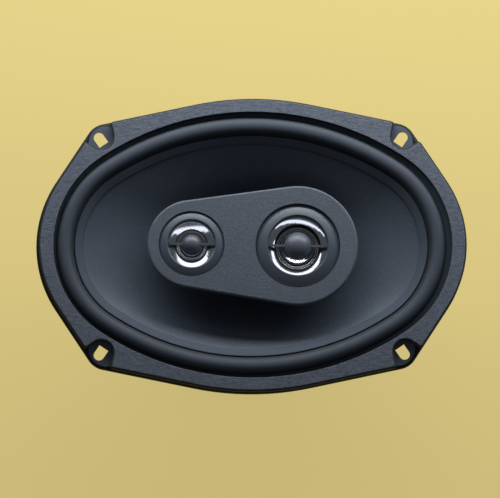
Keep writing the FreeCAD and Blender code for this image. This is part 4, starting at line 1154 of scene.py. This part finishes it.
def bezel_piece(name, d, rails, centre, outer_r):
    """Convex ring that rises from a sunk outer edge to a crest, then rounds down into the mouth."""
    crest_r = d.mouth_r + 0.0006
    crest_z = FRONT_Z + 0.0005
    middle = (crest_r + outer_r) / 2
    drop = (outer_r - crest_r) * 0.40
    outer_z = crest_z - drop
    hill, hill_r = three_point_circle((outer_r, outer_z), (middle, crest_z - drop * 0.43), (crest_r, crest_z))
    start = math.atan2(outer_z - hill[1], outer_r - hill[0])
    stop = math.atan2(crest_z - hill[1], crest_r - hill[0])
    slope = arc_points(hill, hill_r, start, stop, 24)
    lip = [(d.mouth_r + 0.0003, FRONT_Z + 0.00044), (d.mouth_r + 0.0001, FRONT_Z + 0.00025),
           (d.mouth_r, FRONT_Z - 0.00005)]
    foot_z = ring_face(d)[-1][1]
    back_z = FRONT_Z - 0.0022
    wall = [(d.ring_outer_r, foot_z), (d.mouth_r + 0.001, foot_z), (d.mouth_r + 0.001, back_z), (outer_r, back_z)]
    piece = swept(name + "_bezel_ring", rails, slope + lip + wall, [bezel_finish()], centre=centre)
    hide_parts(name + "_bezel")
    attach(piece, BASKET)


def ring_face(d, steps=40):
    """Front of the bright ring, from its inner edge out: the slope changes evenly, then a flatter step."""
    r, z = d.ring_inner_r, FRONT_Z + d.ring_inner_z
    bowl_r = d.ring_outer_r - d.ring_step
    reach = (bowl_r - r) / steps
    points = [(r, z)]
    for i in range(steps):
        angle = d.ring_inner_slope + (d.ring_outer_slope - d.ring_inner_slope) * (i + 0.5) / steps
        r, z = r + reach, z + reach * math.tan(angle)
        points.append((r, z))
    if d.ring_step:
        points.append((r + 0.0001, z + 0.00012))
        flatter = d.ring_inner_slope * 0.88
        points.append((d.ring_outer_r, z + 0.00012 + (d.ring_step - 0.0001) * math.tan(flatter)))
    return points


def ring_piece(name, d, rails, centre):
    """Bright concave ring between the bezel's wall and the throat."""
    face = ring_face(d)
    inner_z, outer_z = face[0][1], face[-1][1]
    back = [(d.mouth_r + 0.001, outer_z), (d.mouth_r + 0.001, inner_z - 0.0006),
            (d.ring_inner_r, inner_z - 0.0006)]
    piece = swept(name + "_bright_ring", rails, face + back, [bright_finish()], centre=centre)
    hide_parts(name + "_reflector")
    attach(piece, BASKET)


def rising(points, width, low, high, steps=12):
    """Carries a line of points (r, z) outwards and up, at slopes from low to high degrees."""
    r, z = points[-1]
    for i in range(steps):
        r += width / steps
        z += width / steps * math.tan(math.radians(low + (high - low) * (i + 0.5) / steps))
        points.append((r, z))


def diaphragm_piece(name, d, rails, centre):
    """Pressed film: a dome in a shallow dish, a flat land and two stepped ridges round it."""
    film = 0.00025
    foot = FRONT_Z + d.foot_z + film
    dish_r = d.dome_r * 0.75
    front = [(dish_r * i / 30, foot + d.dome_rise * 0.5 * (1 - (i / 30) ** 2)) for i in range(31)]
    rising(front, d.dome_r * 0.21, 20.0, 30.0)
    r, z = front[-1]
    shoulder = (z - foot) * 0.8
    front += [(r + shoulder * math.sin(a), foot + (z - foot) * math.cos(a))
              for a in (math.pi / 2 * i / 10 for i in range(1, 11))]
    ridge = (d.edge_r - d.dome_r) * 0.29
    first = d.edge_r - 0.0002 - 2 * ridge
    crests = []
    for start in (first, first + ridge):
        front.append((start, foot))
        rising(front, ridge * 0.75, 17.6, 21.6, 8)
        r, z = front[-1]
        crests.append(r - 0.0001)
        front += [(r + ridge * 0.08, z + 0.00001), (r + ridge * 0.16, z - (z - foot) * 0.3)]
    front += [(d.edge_r - 0.0002, foot), (d.edge_r, foot)]
    back = [(r, min(z, foot + d.dome_rise * 0.5) - film) for r, z in reversed(front)]
    piece = swept(name + "_diaphragm_film", rails, front + back,
                  [film_finish(name + "_film", centre, crests)], centre=centre)
    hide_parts(name + "_dome")
    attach(piece, DIAPHRAGMS[name])


# ---------------------------------------------------------------- stage

CAMERA_DISTANCE = 2.5
CAMERA_LEFT = math.radians(0.96)
CAMERA_BELOW = math.radians(8.55)
CAMERA_ROLL = math.radians(-0.27)
CAMERA_LENS = 330.4
CAMERA_TARGET = Vector((-0.00082, -0.00247, FRONT_Z))


def build_camera():
    away = Vector((-math.tan(CAMERA_LEFT), -math.tan(CAMERA_BELOW), 1.0)).normalized()
    across = Vector((0, 1, 0)).cross(away).normalized()
    up = away.cross(across)
    roll = Matrix.Rotation(CAMERA_ROLL, 4, away)
    turn = roll @ Matrix((across, up, away)).transposed().to_4x4()
    data = bpy.data.cameras.new("camera")
    data.lens = CAMERA_LENS
    data.sensor_width = 36.0
    data.clip_end = 20.0
    camera = bpy.data.objects.new("camera", data)
    camera.matrix_world = Matrix.Translation(CAMERA_TARGET + away * CAMERA_DISTANCE) @ turn
    bpy.context.scene.collection.objects.link(camera)
    bpy.context.scene.camera = camera


def soft_light(name, place, target, width, height, watts):
    data = bpy.data.lights.new(name, "AREA")
    data.shape = "RECTANGLE"
    data.size = width
    data.size_y = height
    data.energy = watts
    light = bpy.data.objects.new(name, data)
    light.location = place
    light.rotation_euler = (Vector(target) - Vector(place)).to_track_quat("-Z", "Y").to_euler()
    bpy.context.scene.collection.objects.link(light)


def build_floor():
    mesh = bpy.data.meshes.new("floor")
    low = CAD_BOUNDS[0].z - 0.0002
    mesh.from_pydata([(-4, -4, low), (4, -4, low), (4, 4, low), (-4, 4, low)], [], [(0, 1, 2, 3)])
    mesh.materials.append(floor_finish())
    add_object("floor", mesh)


def around(azimuth, polar, distance):
    """A place at that distance from the middle of the front: azimuth from +x, polar from the axis."""
    a, p = math.radians(azimuth), math.radians(polar)
    return Vector((math.sin(p) * math.cos(a), math.sin(p) * math.sin(a), math.cos(p))) * distance


def light_arc(name, azimuth, span, polar, lean, distance, height, radiance, count, taper=1.0):
    """A row of flat lights that meet along an arc round the front's axis. Towards its ends the arc leans
    outwards by lean degrees, and gets narrower where taper is more than 0."""
    step = span / count
    width = 2 * distance * math.sin(math.radians(polar)) * math.sin(math.radians(step / 2))
    for i in range(count):
        off = i - (count - 1) / 2
        out = (2 * off / count) ** 2
        tall = height * (1 - taper * out)
        place = around(azimuth + off * step, polar + lean * out, distance)
        soft_light("%s_%d" % (name, i + 1), place, (0, 0, 0), width, tall, math.pi * width * tall * radiance)


def build_lights():
    soft_light("top_box", around(85, 66, 0.31), (0, 0, 0), width=0.86, height=0.11, watts=3.1)
    light_arc("upper_arc", azimuth=84, span=180, polar=44.6, lean=2.6, distance=0.84, height=0.098,
              radiance=1.35, count=9, taper=0.7)
    light_arc("lower_arc", azimuth=-89, span=166, polar=31.8, lean=-3.0, distance=1.2, height=0.135,
              radiance=1.0, count=9, taper=0.8)
    world = bpy.data.worlds.new("room")
    world.use_nodes = True
    world.node_tree.nodes["Background"].inputs["Color"].default_value = (1.0, 1.0, 1.0, 1.0)
    world.node_tree.nodes["Background"].inputs["Strength"].default_value = 0.065
    bpy.context.scene.world = world
    bpy.context.scene.view_settings.view_transform = "Standard"


# ---------------------------------------------------------------- operators and panel

class SPEAKER_OT_basket(bpy.types.Operator):
    """Paint the basket and set its rivets"""
    bl_idname = "speaker.basket"
    bl_label = "Basket"

    def execute(self, context):
        basket_pieces()
        return {"FINISHED"}


class SPEAKER_OT_trim(bpy.types.Operator):
    """Finish the moulded trim ring"""
    bl_idname = "speaker.trim"
    bl_label = "Trim Ring"

    def execute(self, context):
        dress("trim_ring", gasket_finish())
        return {"FINISHED"}


class SPEAKER_OT_cone(bpy.types.Operator):
    """Build the cone"""
    bl_idname = "speaker.cone"
    bl_label = "Cone"

    def execute(self, context):
        cone_piece()
        return {"FINISHED"}


class SPEAKER_OT_surround(bpy.types.Operator):
    """Build the rubber surround"""
    bl_idname = "speaker.surround"
    bl_label = "Surround"

    def execute(self, context):
        surround_pieces()
        return {"FINISHED"}


class SPEAKER_OT_spider(bpy.types.Operator):
    """Build the corrugated spider"""
    bl_idname = "speaker.spider"
    bl_label = "Spider"

    def execute(self, context):
        spider_pieces()
        return {"FINISHED"}


class SPEAKER_OT_motor(bpy.types.Operator):
    """Finish the magnet, plates, coil and boot"""
    bl_idname = "speaker.motor"
    bl_label = "Motor"

    def execute(self, context):
        motor_pieces()
        return {"FINISHED"}


class SPEAKER_OT_terminals(bpy.types.Operator):
    """Finish the terminal board and its blades"""
    bl_idname = "speaker.terminals"
    bl_label = "Terminals"

    def execute(self, context):
        terminal_pieces()
        return {"FINISHED"}


class SPEAKER_OT_leads(bpy.types.Operator):
    """Build the tinsel leads and the pod's leads"""
    bl_idname = "speaker.leads"
    bl_label = "Leads"

    def execute(self, context):
        tinsel_leads()
        pod_lead_piece()
        return {"FINISHED"}


class SPEAKER_OT_pod(bpy.types.Operator):
    """Finish the pod and its post"""
    bl_idname = "speaker.pod"
    bl_label = "Pod"

    def execute(self, context):
        pod_pieces()
        return {"FINISHED"}


class SPEAKER_OT_small_drivers(bpy.types.Operator):
    """Build the two small drivers of the pod"""
    bl_idname = "speaker.small_drivers"
    bl_label = "Small Drivers"

    def execute(self, context):
        for name in DIAPHRAGMS:
            small_driver_pieces(name)
        return {"FINISHED"}


class SPEAKER_OT_stage(bpy.types.Operator):
    """Build the floor, the camera and the lights"""
    bl_idname = "speaker.stage"
    bl_label = "Stage"

    def execute(self, context):
        build_floor()
        build_camera()
        build_lights()
        return {"FINISHED"}


class SPEAKER_PT_panel(bpy.types.Panel):
    """Lists the speaker's operators"""
    bl_label = "Oval Speaker"
    bl_idname = "SPEAKER_PT_panel"
    bl_space_type = "VIEW_3D"
    bl_region_type = "UI"
    bl_category = "Speaker"

    def draw(self, context):
        for operator in OPERATORS:
            self.layout.operator(operator.bl_idname)


OPERATORS = (SPEAKER_OT_basket, SPEAKER_OT_trim, SPEAKER_OT_cone, SPEAKER_OT_surround, SPEAKER_OT_spider,
             SPEAKER_OT_motor, SPEAKER_OT_terminals, SPEAKER_OT_leads, SPEAKER_OT_pod,
             SPEAKER_OT_small_drivers, SPEAKER_OT_stage)


def register():
    for group in GROUPS.values():
        bpy.utils.register_class(group)
    for name, group in GROUPS.items():
        setattr(bpy.types.Scene, name, PointerProperty(type=group))
    for operator in OPERATORS:
        bpy.utils.register_class(operator)
    bpy.utils.register_class(SPEAKER_PT_panel)


def unregister():
    bpy.utils.unregister_class(SPEAKER_PT_panel)
    for operator in reversed(OPERATORS):
        bpy.utils.unregister_class(operator)
    for name, group in GROUPS.items():
        delattr(bpy.types.Scene, name)
        bpy.utils.unregister_class(group)


def main():
    register()
    for operator in OPERATORS:
        group, name = operator.bl_idname.split(".")
        getattr(getattr(bpy.ops, group), name)()


if __name__ == "__main__":
    main()
